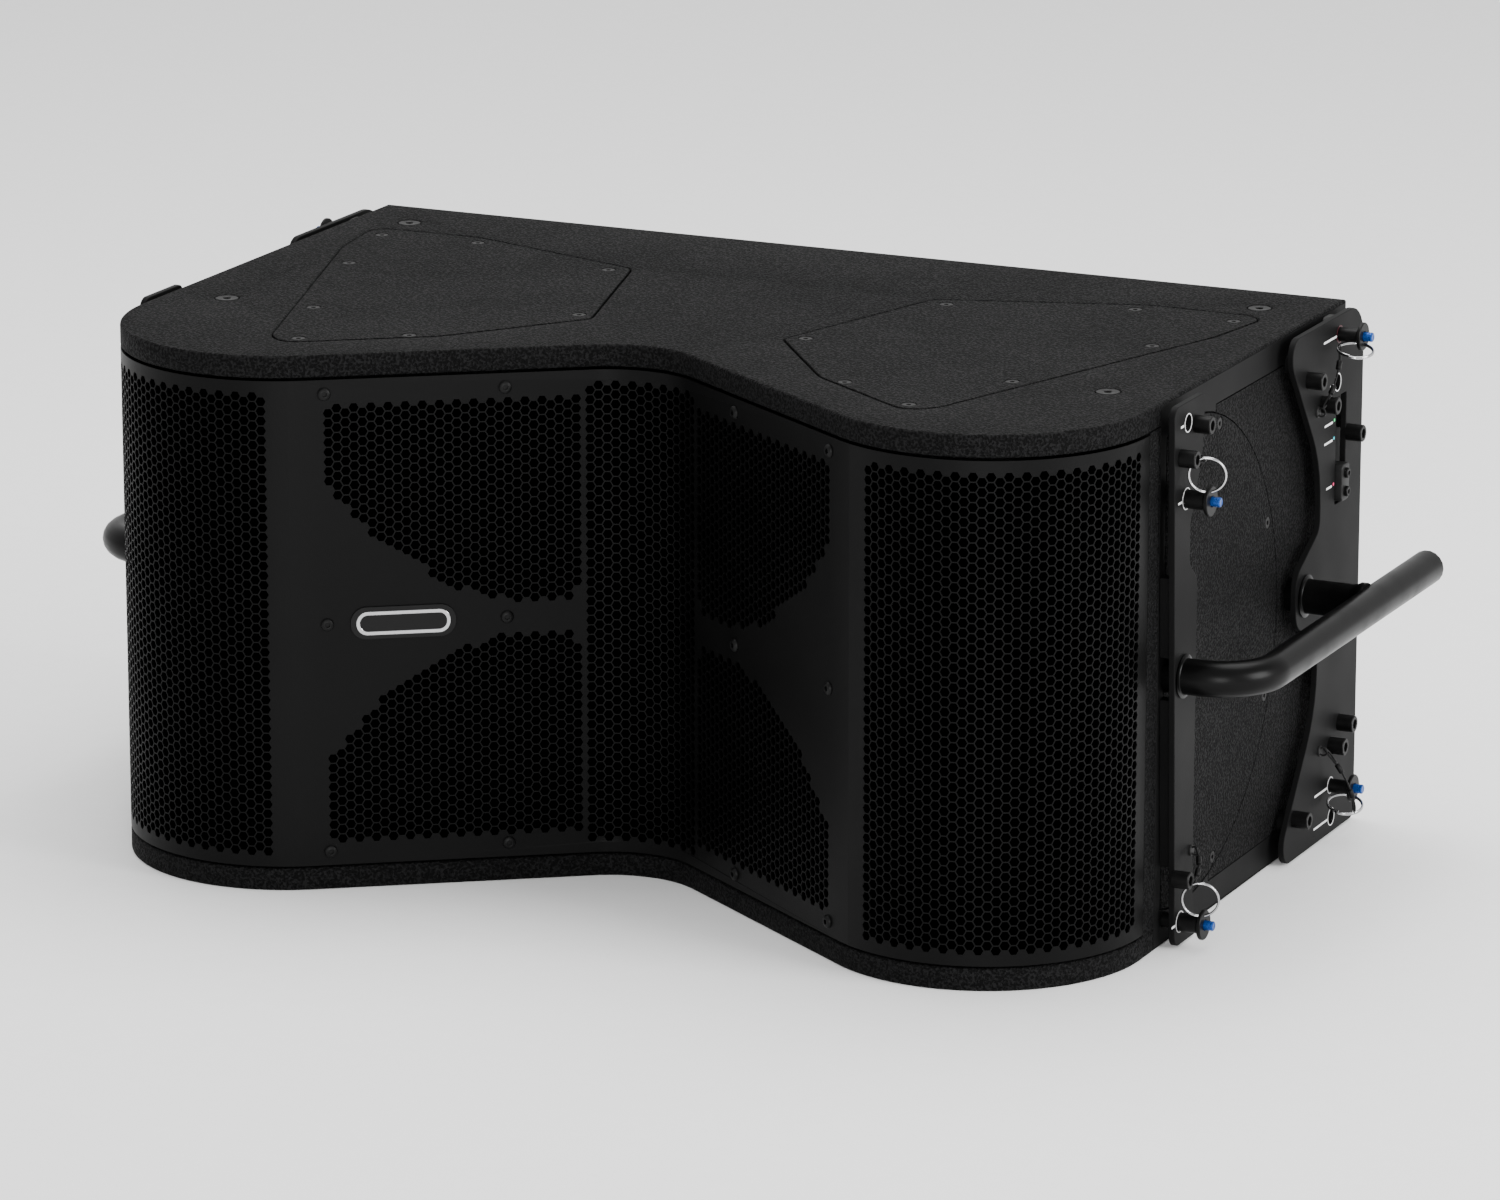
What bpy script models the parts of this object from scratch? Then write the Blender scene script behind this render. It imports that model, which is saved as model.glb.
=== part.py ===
"""A W-fronted line array loudspeaker, hung from quick-release pins in plates on its two sides.

The design frame has x across the cabinet, y to the back from the line of the two front corner bolts
on the lid, and z up from mid-height. The empty that carries every object moves that frame so that
the finished speaker stands on z = 0 with x = y = 0 under the middle of its outline. Metres.
"""

import math

import bmesh
import bpy
from mathutils import Matrix, Vector

# Cabinet
WIDTH = 0.860
HEIGHT = 0.430
BACK = 0.372
PLY = 0.018
FIT = 0.0003  # clearance between pieces that touch
EDGE_ROUND = 0.0022

# W-shaped front, symmetric about x = 0
FLANK_ANGLE = math.radians(34.8)
VEE_Y = 0.0038  # where the two flanks would meet without the fillet
VEE_RADIUS = 0.075
LOBE_RADIUS = 0.130
GRILLE_THICK = 0.002
GRILLE_GAP = 0.0018
GRILLE_END_Y = -0.0426

# Lid hatches
HATCH_THICK = 0.006
HATCH_GAP = 0.0010
HATCH_WELL_SCALE = 0.84
HATCH_OUTLINE = (
    (0.084, 0.056, 0.010),
    (0.163, -0.048, 0.060),
    (0.264, -0.119, 0.018),
    (0.283, -0.100, 0.030),
    (0.384, 0.205, 0.060),
    (0.396, 0.283, 0.016),
    (0.300, 0.286, 0.080),
    (0.134, 0.232, 0.014),
)

# Side skins, let into the sides by their own thickness
SKIN = 0.003
FRAME_FRONT = -0.020
FRAME_REBATE = 0.0024  # lip of lid and floor left above and below the frame
WINDOW_FRONT = 0.092
WINDOW_BACK = 0.345
WINDOW_HALF_HEIGHT = 0.1904
WINDOW_ROUND = 0.024
COVER_CENTRE_Y = 0.039
COVER_RADIUS = 0.1905
COVER_FRONT = -0.007
SEAM = 0.0009

# Rigging plates
PLATE_FACE = 0.4435
PLATE_THICK = 0.005
PLATE_HALF_HEIGHT = 0.2135
SPACER_RADIUS = 0.007
FRONT_PLATE = (
    (-0.027, PLATE_HALF_HEIGHT, 0.009),
    (0.036, PLATE_HALF_HEIGHT, 0.006),
    (0.031, 0.165, 0.020),
    (0.009, 0.118, 0.020),
    (0.009, 0.086, 0.008),
    (0.025, 0.070, 0.010),
    (0.025, -0.175, 0.030),
    (0.033, -PLATE_HALF_HEIGHT, 0.003),
    (-0.011, -PLATE_HALF_HEIGHT, 0.010),
)
REAR_PLATE_FRONT_EDGE = (
    (0.220, PLATE_HALF_HEIGHT, 0.014),
    (0.220, 0.192, 0.020),
    (0.287, 0.100, 0.100),
    (0.287, 0.047, 0.014),
    (0.237, 0.020, 0.018),
)
REAR_PLATE_BACK = 0.378
REAR_PLATE_TOP_ROUND = 0.030
SLOT = (0.319, 0.341, 0.060, 0.148)
SPARE_HOLE_RADIUS = 0.0062

# Handles
TUBE_RADIUS = 0.014
TUBE_SIDES = 12
TUBE_BEVEL = TUBE_SIDES // 4
LEG_SHARE = 0.97  # of the tube's radius, so that the leg's facets stay inside the grip
GRIP_X = 0.500
BEND_RADIUS = 0.043
GRIP_END = 0.383
FRONT_LEG_Y = 0.0
REAR_LEG_Y = 0.258

# Pins: y, z, shank radius, body radius and flange radius
PINS = {
    "front_upper": (0.0, 0.1385, 0.0060, 0.0072, 0.0117),
    "front_lower": (0.0, -0.1950, 0.0060, 0.0072, 0.0117),
    "rear_upper": (0.323, 0.1980, 0.0045, 0.0056, 0.0112),
    "rear_lower": (0.323, -0.1730, 0.0045, 0.0056, 0.0112),
}
PIN_TIP = 0.4273
PIN_FLANGE = (0.4610, 0.4642)
PIN_BORE = 0.0042
PIN_BORE_END = 0.4465
BUTTON_RADIUS = 0.0038
BUTTON_SPAN = (0.4515, 0.4714)
PIN_SIDES = 12
HOLE_CLEARANCE = 0.0004

# Links that rise out of the cabinet to the box above
LINK_X = (0.4320, 0.4368)
FRONT_LINK_TRAVEL = 0.0965
FRONT_LINK_WIDTH = 0.018
REAR_LINK_TRAVEL = 0.055
REAR_LINK_WIDTH = 0.022
LINK_END = 0.014
LINK_GRIP = (0.3205, 0.3395, 0.062, 0.092)
LINK_GRIP_FACE = 0.4485

# Spacer posts behind the plates: y, z
FRONT_POSTS = ((0.0225, 0.186), (0.006, -0.060), (0.006, -0.140))
REAR_POSTS = ((0.243, 0.190), (0.360, 0.120), (0.350, -0.090), (0.245, -0.185))
FRONT_SPARE_HOLES = ((0.001, 0.197),)
REAR_SPARE_HOLES = ((0.3206, 0.1596), (0.326, -0.200))

# Woofers: closed profiles of (distance behind the baffle's face, radius)
WOOFER_X = 0.250
WOOFER_PLANE = 0.038
WOOFER_OPENING = 0.140
BAFFLE_THICK = 0.018
BAFFLE_INNER_X = 0.062
WOOFER_BASKET = (
    (0.074, 0),
    (0.074, 0.062),
    (0.008, 0.133),
    (-0.008, 0.133),
    (-0.008, 0.153),
    (0, 0.153),
    (0, 0.138),
    (0.014, 0.137),
    (0.078, 0.092),
    (0.118, 0.092),
    (0.118, 0),
)
WOOFER_CONE = (
    (0.052, 0),
    (0.046, 0.022),
    (0.050, 0.038),
    (-0.002, 0.122),
    (-0.002, 0.126),
    (0, 0.126),
    (0.053, 0.039),
    (0.049, 0.022),
    (0.055, 0),
)

# Midrange units on slanted baffles, their profiles like the woofers'
MID_X = 0.156
MID_S = 0.095  # half length of a mid baffle along its flank
MID_DEPTH = 0.026  # front of the mid baffle behind the flank
MID_BAFFLE_THICK = 0.015
MID_Z = 0.098
MID_OPENING = 0.070
MID_BASKET = (
    (0.034, 0),
    (0.034, 0.030),
    (0.002, 0.066),
    (-0.005, 0.066),
    (-0.005, 0.082),
    (-FIT, 0.082),
    (-FIT, 0.069),
    (0.036, 0.046),
    (0.068, 0.046),
    (0.068, 0),
)
MID_CONE = (
    (0.022, 0),
    (0.024, 0.016),
    (-0.001, 0.060),
    (0.001, 0.061),
    (0.026, 0.017),
    (0.024, 0),
)

# Horn: half widths at its mouth and throat, and the compression drivers behind it
HORN_Z = 0.190
HORN_WALL = 0.010
HORN_MOUTH_Y = 0.010
HORN_THROAT_Y = 0.150
HORN_OUTSIDE = (0.048, 0.030)
HORN_FLARE = (0.042, 0.010)
DRIVER_Z = 0.095
DRIVER = (
    (0.012, 0),
    (0.012, 0.018),
    (0, 0.018),
    (0, 0.058),
    (0.010, 0.058),
    (0.010, 0.050),
    (0.050, 0.050),
    (0.058, 0.040),
    (0.058, 0),
)

# Rear connector plate, and the profile of a socket behind and in front of its face
DISH = (0.080, 0.052)
DISH_RIM = 0.012
DISH_THICK = 0.0025
SOCKET_X = 0.038
SOCKET_HOLE = 0.0125
SOCKET = (
    (-0.030, 0),
    (-0.030, 0.0120),
    (FIT, 0.0120),
    (FIT, 0.0160),
    (0.0022, 0.0160),
    (0.0022, 0.0095),
    (-0.024, 0.0095),
    (-0.024, 0),
)

# Sides: thickness to the outside, and how far from it the back and the baffles end
SIDE_DEPTH = 0.0210
SIDE_CLEARANCE = 0.0215
THROUGH = 0.010  # how far a cutter passes the faces that it cuts

HALF = WIDTH / 2
TOP = HEIGHT / 2
INNER = TOP - PLY
LOBE_X = HALF - LOBE_RADIUS
LOBE_Y = VEE_Y + (LOBE_RADIUS - LOBE_X * math.sin(FLANK_ANGLE)) / math.cos(FLANK_ANGLE)
VEE_CENTRE_Y = VEE_Y - VEE_RADIUS / math.cos(FLANK_ANGLE)
FRONT = LOBE_Y - LOBE_RADIUS
OVERALL_CENTRE_Y = (FRONT + GRIP_END) / 2

for stale in list(bpy.data.objects):
    bpy.data.objects.remove(stale)

carrier = bpy.data.objects.new("speaker", None)
bpy.context.collection.objects.link(carrier)
carrier.location = (0.0, -OVERALL_CENTRE_Y, TOP)


def material(name, colour, roughness, metallic=0.0):
    made = bpy.data.materials.new(name)
    made.use_nodes = True
    shader = made.node_tree.nodes["Principled BSDF"]
    shader.inputs["Base Color"].default_value = (*colour, 1.0)
    shader.inputs["Roughness"].default_value = roughness
    shader.inputs["Metallic"].default_value = metallic
    return made


PAINT = material("textured_paint", (0.030, 0.030, 0.032), 0.75)
PERFORATED = material("powder_coated_steel", (0.018, 0.018, 0.019), 0.55, 0.2)
PLATE_STEEL = material("dark_coated_steel", (0.050, 0.050, 0.052), 0.50, 0.2)
HANDLE_BLACK = material("satin_black_tube", (0.012, 0.012, 0.013), 0.30, 0.1)
PIN_BLACK = material("black_oxide", (0.014, 0.014, 0.015), 0.45, 0.4)
BUTTON_BLUE = material("blue_anodised", (0.005, 0.070, 0.380), 0.30, 0.6)
LINK_STEEL = material("link_steel", (0.030, 0.030, 0.032), 0.50, 0.4)
BARE_PLY = material("bare_plywood", (0.350, 0.230, 0.120), 0.80)
CAST = material("cast_aluminium", (0.250, 0.250, 0.260), 0.50, 0.8)
PAPER = material("paper_cone", (0.020, 0.020, 0.022), 0.90)
HORN_PLASTIC = material("moulded_horn", (0.020, 0.020, 0.020), 0.45)
SOCKET_PLASTIC = material("socket_plastic", (0.030, 0.030, 0.034), 0.40)


def arc(cx, cy, radius, start, end, steps):
    """Points of an arc in degrees, both ends included."""
    turns = [math.radians(start + (end - start) * i / steps) for i in range(steps + 1)]
    return [(cx + radius * math.cos(a), cy + radius * math.sin(a)) for a in turns]


def rounded(corners, step=18.0):
    """A closed outline from (a, b, radius) corners, each one turned into an arc."""
    points = []
    for i, (a, b, radius) in enumerate(corners):
        here = Vector((a, b))
        back = (Vector(corners[i - 1][:2]) - here).normalized()
        ahead = (Vector(corners[(i + 1) % len(corners)][:2]) - here).normalized()
        half = back.angle(ahead) / 2
        reach = radius / math.tan(half)
        centre = here + (back + ahead).normalized() * (radius / math.sin(half))
        first = here + back * reach - centre
        turn = first.angle_signed(here + ahead * reach - centre)
        steps = max(1, math.ceil(abs(math.degrees(turn)) / step))
        for k in range(steps + 1):
            spoke = Matrix.Rotation(-turn * k / steps, 2) @ first
            points.append((centre.x + spoke.x, centre.y + spoke.y))
    return points


def front_curve(inset, lobe_steps=16, vee_steps=6):
    """The W-shaped front from the right side to the left one, moved back by inset."""
    flank = math.degrees(FLANK_ANGLE)
    lobe = arc(LOBE_X, LOBE_Y, LOBE_RADIUS - inset, 0, flank - 90 - 2 * flank, lobe_steps)
    vee = arc(0, VEE_CENTRE_Y, VEE_RADIUS + inset, 90 - flank, 90 + flank, vee_steps)
    return lobe + vee + [(-x, y) for x, y in reversed(lobe)]


def finish(name, mesh, coat, at=(0, 0, 0), smooth=False):
    """Makes the object, its origin at the given place of the design frame."""
    mesh.transform(Matrix.Translation(-Vector(at)))
    mesh.materials.append(coat)
    if smooth:
        mesh.shade_smooth()
        mesh.set_sharp_from_angle(angle=math.radians(35))
    made = bpy.data.objects.new(name, mesh)
    bpy.context.collection.objects.link(made)
    made.parent = carrier
    made.location = at
    return made


def to_mesh(bm, name):
    bmesh.ops.recalc_face_normals(bm, faces=bm.faces)
    mesh = bpy.data.meshes.new(name)
    bm.to_mesh(mesh)
    bm.free()
    return mesh


def prism_mesh(outline, low, high, axis="z", bevel=0.0):
    """An outline extruded from low to high: (x, y) along z, or (y, z) along x."""
    bm = bmesh.new()
    corners = [bm.verts.new((a, b, low)) for a, b in outline]
    base = bm.faces.new(corners)
    grown = bmesh.ops.extrude_face_region(bm, geom=[base])["geom"]
    lifted = [v for v in grown if isinstance(v, bmesh.types.BMVert)]
    bmesh.ops.translate(bm, verts=lifted, vec=(0, 0, high - low))
    if bevel:
        rims = [e for e in bm.edges if abs(e.verts[0].co.z - e.verts[1].co.z) < 1e-6]
        bmesh.ops.bevel(
            bm, geom=rims, offset=bevel, segments=1, profile=0.5, affect="EDGES", material=-1
        )
    if axis == "x":
        turn = Matrix(((0, 0, 1, 0), (1, 0, 0, 0), (0, 1, 0, 0), (0, 0, 0, 1)))
        bmesh.ops.transform(bm, matrix=turn, verts=bm.verts)
    return to_mesh(bm, "prism")


def box_mesh(low, high):
    (ax, ay, az), (bx, by, bz) = low, high
    return prism_mesh([(ax, ay), (bx, ay), (bx, by), (ax, by)], az, bz)


def turned_mesh(profile, axis, centre, sides):
    """A solid of revolution from (along, radius) points, its axis through centre."""
    forward = Vector(axis).normalized()
    across = forward.orthogonal().normalized()
    bm = bmesh.new()
    ring = [bm.verts.new(Vector(centre) + forward * s + across * r) for s, r in profile]
    edges = [bm.edges.new(pair) for pair in zip(ring, ring[1:])]
    closed = profile[0][1] > 0 and profile[-1][1] > 0
    if closed:
        edges.append(bm.edges.new((ring[-1], ring[0])))
    bmesh.ops.spin(
        bm,
        geom=ring + edges,
        cent=centre,
        axis=forward,
        angle=math.tau,
        steps=sides,
        use_merge=True,
        use_normal_flip=False,
        use_duplicate=False,
    )
    bmesh.ops.remove_doubles(bm, verts=bm.verts, dist=1e-6)
    return to_mesh(bm, "turned")


def slot_outline(y_low, y_high, z_low, z_high, radius):
    return rounded(
        [
            (y_low, z_low, radius),
            (y_high, z_low, radius),
            (y_high, z_high, radius),
            (y_low, z_high, radius),
        ]
    )


def boolean(target, operation, mesh, label):
    """Cuts or joins a mesh given in the design frame; the tool object stays hidden."""
    tool = finish(f"{label}_tool", mesh, target.data.materials[0])
    tool.hide_render = True
    tool.display_type = "WIRE"
    step = target.modifiers.new(label, "BOOLEAN")
    step.operation = operation
    step.solver = "EXACT"
    step.object = tool


def cut(target, mesh, label):
    boolean(target, "DIFFERENCE", mesh, label)


def join(target, mesh, label):
    boolean(target, "UNION", mesh, label)


def sided(side, points):
    """Mirrors (x, y) points to the left side, keeping their turning sense."""
    return points if side > 0 else [(-x, y) for x, y in reversed(points)]


def span(side, near, far):
    """Low and high x of a layer between two distances from the middle."""
    return (near, far) if side > 0 else (-far, -near)


def rod(side, near, far, y, z, radius, sides=12):
    """A cylinder across a side, from one distance to another."""
    profile = [(near, 0), (near, radius), (far, radius), (far, 0)]
    return turned_mesh(profile, (side, 0, 0), (0, y, z), sides)


def pin_hole(target, side, pin):
    """The blind end of a pin's hole, in whichever skin or wall the pin reaches."""
    y, z, shank = PINS[pin][:3]
    hole = rod(side, HALF - SKIN - FIT, HALF + THROUGH, y, z, shank + HOLE_CLEARANCE)
    cut(target, hole, f"{target.name}_{pin}_hole")


def lid_or_floor(name, sign):
    """Lid (sign +1) or floor (sign -1), rebated at its sides for the side frames."""
    outline = front_curve(0) + [(-HALF, BACK), (HALF, BACK)]
    low, high = sorted((sign * INNER, sign * TOP))
    panel = finish(name, prism_mesh(outline, low, high, bevel=EDGE_ROUND), PAINT)
    lip = TOP - FRAME_REBATE + FIT
    for side, word in ((1, "right"), (-1, "left")):
        near, far = span(side, HALF - SKIN - FIT, HALF + THROUGH)
        z_low, z_high = sorted((sign * (INNER - THROUGH), sign * lip))
        start = FRAME_FRONT - SEAM
        rebate = box_mesh((near, start, z_low), (far, BACK + THROUGH, z_high))
        cut(panel, rebate, f"{name}_{word}_rebate")
    return panel


def hatch_points(grow=0.0, scale=1.0):
    """The hatch outline, grown outwards by a gap or scaled about its middle."""
    points = [Vector(p) for p in rounded(HATCH_OUTLINE, 12.0)]
    middle = sum(points, Vector((0, 0))) / len(points)
    moved = [middle + (p - middle) * scale for p in points]
    return [tuple(p + (p - middle).normalized() * grow) for p in moved]


def lid_with_hatches():
    lid = lid_or_floor("top_panel", 1)
    for side, word in ((1, "right"), (-1, "left")):
        pocket = sided(side, hatch_points(grow=HATCH_GAP))
        floor = TOP - HATCH_THICK - FIT
        cut(lid, prism_mesh(pocket, floor, TOP + THROUGH), f"{word}_hatch_pocket")
        well = sided(side, hatch_points(scale=HATCH_WELL_SCALE))
        cut(lid, prism_mesh(well, INNER - THROUGH, TOP), f"{word}_hatch_well")
        plate = prism_mesh(sided(side, hatch_points()), TOP - HATCH_THICK, TOP)
        finish(f"{word}_top_hatch", plate, PAINT)


def grille():
    outer = [(HALF, GRILLE_END_Y)] + front_curve(0) + [(-HALF, GRILLE_END_Y)]
    inner = front_curve(GRILLE_THICK)
    rim = HALF - GRILLE_THICK
    inner = [(rim, GRILLE_END_Y)] + inner + [(-rim, GRILLE_END_Y)]
    half = INNER - GRILLE_GAP
    sheet = prism_mesh(outer + inner[::-1], -half, half)
    finish("front_grille", sheet, PERFORATED, smooth=True)


def cover_arc(radius, y_limit, steps):
    """The cover's round edge from bottom to top, in front of it cut off at y_limit."""
    limit = math.degrees(math.acos((y_limit - COVER_CENTRE_Y) / radius))
    return arc(COVER_CENTRE_Y, 0, radius, -limit, limit, steps)


def window_back(margin):
    """The rounded back corners of the side window, from top to bottom."""
    height = WINDOW_HALF_HEIGHT - margin
    back = WINDOW_BACK - margin
    radius = WINDOW_ROUND - margin
    upper = arc(back - radius, height - radius, radius, 90, 0, 5)
    return upper + [(y, -z) for y, z in reversed(upper)]


def side_wall(side, word):
    """The ply side: proud in front, and proud again between the frame and the cover."""
    base = HALF - SKIN - FIT
    near, far = span(side, HALF - SIDE_DEPTH, base)
    lift = INNER - FIT
    front = GRILLE_END_Y + FIT * 2
    board = box_mesh((near, front, -lift), (far, BACK - FIT, lift))
    wall = finish(f"{word}_side_wall", board, PAINT)
    near, far = span(side, base - 0.002, HALF)
    strip = box_mesh((near, front, -lift), (far, FRAME_FRONT - SEAM, lift))
    join(wall, strip, f"{word}_wall_front_strip")
    outer = COVER_RADIUS + SEAM
    start = WINDOW_FRONT + SEAM
    limit = math.degrees(math.acos((start - COVER_CENTRE_Y) / outer))
    inner_edge = arc(COVER_CENTRE_Y, 0, outer, -limit, limit, 24)
    top_z = WINDOW_HALF_HEIGHT - SEAM
    pad = [*inner_edge, (start, top_z), *window_back(SEAM), (start, -top_z)]
    join(wall, prism_mesh(pad, near, far, axis="x"), f"{word}_wall_window_pad")
    pin_hole(wall, side, "rear_lower")


def side_frame(side, word):
    """The steel frame skin around the window and the round cover, with its pin holes."""
    near, far = span(side, HALF - SKIN, HALF)
    edge = TOP - FRAME_REBATE
    outline = [(FRAME_FRONT, -edge), (BACK, -edge), (BACK, edge), (FRAME_FRONT, edge)]
    frame = finish(f"{word}_side_frame", prism_mesh(outline, near, far, axis="x"), PLATE_STEEL)
    outer = COVER_RADIUS + SEAM
    limit = math.degrees(math.acos((WINDOW_FRONT - COVER_CENTRE_Y) / outer))
    start = math.degrees(math.acos((COVER_FRONT - SEAM - COVER_CENTRE_Y) / outer))
    bow = arc(COVER_CENTRE_Y, 0, outer, limit, start, 14)
    height = WINDOW_HALF_HEIGHT
    hole = [(WINDOW_FRONT, -height), *reversed(window_back(0)), (WINDOW_FRONT, height)]
    hole += bow + [(y, -z) for y, z in reversed(bow)]
    near, far = span(side, HALF - THROUGH, HALF + THROUGH)
    cut(frame, prism_mesh(hole, near, far, axis="x"), f"{word}_frame_window")
    pin_hole(frame, side, "front_lower")
    pin_hole(frame, side, "rear_upper")


def access_cover(side, word):
    near, far = span(side, HALF - SKIN, HALF)
    disc = prism_mesh(cover_arc(COVER_RADIUS, COVER_FRONT, 36), near, far, axis="x")
    pin_hole(finish(f"{word}_access_cover", disc, PAINT), side, "front_upper")


def plate(side, name, outline, rounds, slot, spacers, leg_y):
    """A rigging plate on its spacers, with its pin holes and the hole for a handle leg."""
    near, far = span(side, PLATE_FACE - PLATE_THICK, PLATE_FACE)
    made = finish(name, prism_mesh(outline, near, far, axis="x"), PLATE_STEEL)
    back = PLATE_FACE - PLATE_THICK
    for i, (y, z) in enumerate(spacers):
        post = rod(side, HALF + FIT, back + 0.002, y, z, SPACER_RADIUS, 12)
        join(made, post, f"{name}_spacer_{i}")
    holes = [*rounds, (leg_y, 0.0, TUBE_RADIUS + FIT * 2)]
    for i, (y, z, radius) in enumerate(holes):
        cut(made, rod(side, back - 0.002, PLATE_FACE + 0.002, y, z, radius), f"{name}_hole_{i}")
    if slot:
        near, far = span(side, back - 0.002, PLATE_FACE + 0.002)
        cut(made, prism_mesh(slot_outline(*slot, 0.002), near, far, axis="x"), f"{name}_slot")


def rigging_plates(side, word):
    pins = {k: (y, z, shank + HOLE_CLEARANCE) for k, (y, z, shank, _, _) in PINS.items()}
    spare = [(y, z, SPARE_HOLE_RADIUS) for y, z in FRONT_SPARE_HOLES]
    rounds = [pins["front_upper"], pins["front_lower"], *spare]
    outline = rounded(FRONT_PLATE)
    plate(side, f"{word}_front_plate", outline, rounds, None, FRONT_POSTS, FRONT_LEG_Y)
    upper = REAR_PLATE_FRONT_EDGE
    back_edge = (
        (REAR_PLATE_BACK, -PLATE_HALF_HEIGHT, 0.008),
        (REAR_PLATE_BACK, PLATE_HALF_HEIGHT, REAR_PLATE_TOP_ROUND),
    )
    corners = [*upper, *((y, -z, r) for y, z, r in reversed(upper)), *back_edge]
    spare = [(y, z, SPARE_HOLE_RADIUS) for y, z in REAR_SPARE_HOLES]
    rounds = [pins["rear_upper"], pins["rear_lower"], *spare]
    plate(side, f"{word}_rear_plate", rounded(corners), rounds, SLOT, REAR_POSTS, REAR_LEG_Y)


def handle(side, word):
    """A tube from the front plate, bent into the grip, with a rear leg joined to it as a T."""
    inner = HALF + FIT
    bend = arc(GRIP_X - BEND_RADIUS, FRONT_LEG_Y + BEND_RADIUS, BEND_RADIUS, -90, 0, 8)
    path = [(inner, FRONT_LEG_Y), *bend, (GRIP_X, GRIP_END)]
    tube = bpy.data.curves.new(f"{word}_handle", "CURVE")
    tube.dimensions = "3D"
    spline = tube.splines.new("POLY")
    spline.points.add(len(path) - 1)
    for point, (x, y) in zip(spline.points, path):
        point.co = (side * x, y, 0, 1)
    tube.bevel_depth = TUBE_RADIUS
    tube.bevel_resolution = TUBE_BEVEL
    tube.use_fill_caps = True
    guide = bpy.data.objects.new(f"{word}_handle_path", tube)
    bpy.context.collection.objects.link(guide)
    swept = bpy.data.meshes.new_from_object(guide)
    bpy.data.objects.remove(guide)
    bm = bmesh.new()
    bm.from_mesh(swept)
    bmesh.ops.remove_doubles(bm, verts=bm.verts, dist=1e-6)
    grip = finish(f"{word}_handle", to_mesh(bm, "tube"), HANDLE_BLACK, smooth=True)
    leg = rod(side, inner, GRIP_X, REAR_LEG_Y, 0, TUBE_RADIUS * LEG_SHARE, TUBE_SIDES)
    join(grip, leg, f"{word}_rear_leg")


def links(side, word):
    """The slotted front and rear links that stand behind the plates."""
    y, z = PINS["front_upper"][:2]
    clear = PINS["front_upper"][2] + HOLE_CLEARANCE * 2
    half = FRONT_LINK_WIDTH / 2
    low = z - FRONT_LINK_TRAVEL
    near, far = span(side, *LINK_X)
    bar = slot_outline(y - half, y + half, low - LINK_END, z + LINK_END, half * 0.8)
    at = (side * LINK_X[0], y, z)
    front = finish(f"{word}_front_link", prism_mesh(bar, near, far, axis="x"), LINK_STEEL, at)
    gap = slot_outline(y - clear, y + clear, low - clear, z + clear, clear * 0.95)
    wide = span(side, LINK_X[0] - 0.002, LINK_X[1] + 0.002)
    cut(front, prism_mesh(gap, *wide, axis="x"), f"{word}_front_link_slot")

    y, z = PINS["rear_upper"][:2]
    clear = PINS["rear_upper"][2] + HOLE_CLEARANCE * 2
    half = REAR_LINK_WIDTH / 2
    grip_y0, grip_y1, grip_z0, grip_z1 = LINK_GRIP
    bar = slot_outline(y - half, y + half, grip_z0 - 0.008, z + LINK_END, half * 0.6)
    at = (side * LINK_X[0], y, z)
    rear = finish(f"{word}_rear_link", prism_mesh(bar, near, far, axis="x"), LINK_STEEL, at)
    block_x = span(side, LINK_X[1] - 0.002, LINK_GRIP_FACE)
    block = slot_outline(grip_y0, grip_y1, grip_z0, grip_z1, 0.004)
    join(rear, prism_mesh(block, *block_x, axis="x"), f"{word}_rear_link_grip")
    low = z - REAR_LINK_TRAVEL
    gap = slot_outline(y - clear, y + clear, low - clear, z + clear, clear * 0.95)
    cut(rear, prism_mesh(gap, *wide, axis="x"), f"{word}_rear_link_slot")


def pin_and_button(side, word, pin):
    y, z, shank, body, flange = PINS[pin]
    seat = PLATE_FACE + FIT
    flange_in, flange_out = PIN_FLANGE
    profile = [
        (PIN_TIP, 0),
        (PIN_TIP, shank * 0.75),
        (PIN_TIP + 0.002, shank),
        (seat, shank),
        (seat, body),
        (flange_in, body),
        (flange_in, flange),
        (flange_out, flange),
        (flange_out, PIN_BORE),
        (PIN_BORE_END, PIN_BORE),
        (PIN_BORE_END, 0),
    ]
    axis = (side, 0, 0)
    at = (side * seat, y, z)
    mesh = turned_mesh(profile, axis, (0, y, z), PIN_SIDES)
    finish(f"{word}_{pin}_pin", mesh, PIN_BLACK, at, smooth=True)
    low, high = BUTTON_SPAN
    dome = [
        (low, 0),
        (low, BUTTON_RADIUS),
        (high - 0.0007, BUTTON_RADIUS),
        (high, BUTTON_RADIUS - 0.0010),
        (high, 0),
    ]
    mesh = turned_mesh(dome, axis, (0, y, z), PIN_SIDES)
    at = (side * high, y, z)
    finish(f"{word}_{pin}_button", mesh, BUTTON_BLUE, at, smooth=True)


def behind(plane, profile):
    """A profile measured from a plane, moved to where that plane is."""
    return [(plane + along, radius) for along, radius in profile]


def through_hole(near, far, radius):
    """The profile of a round cutter that passes both faces."""
    return [(near, 0), (near, radius), (far, radius), (far, 0)]


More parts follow.
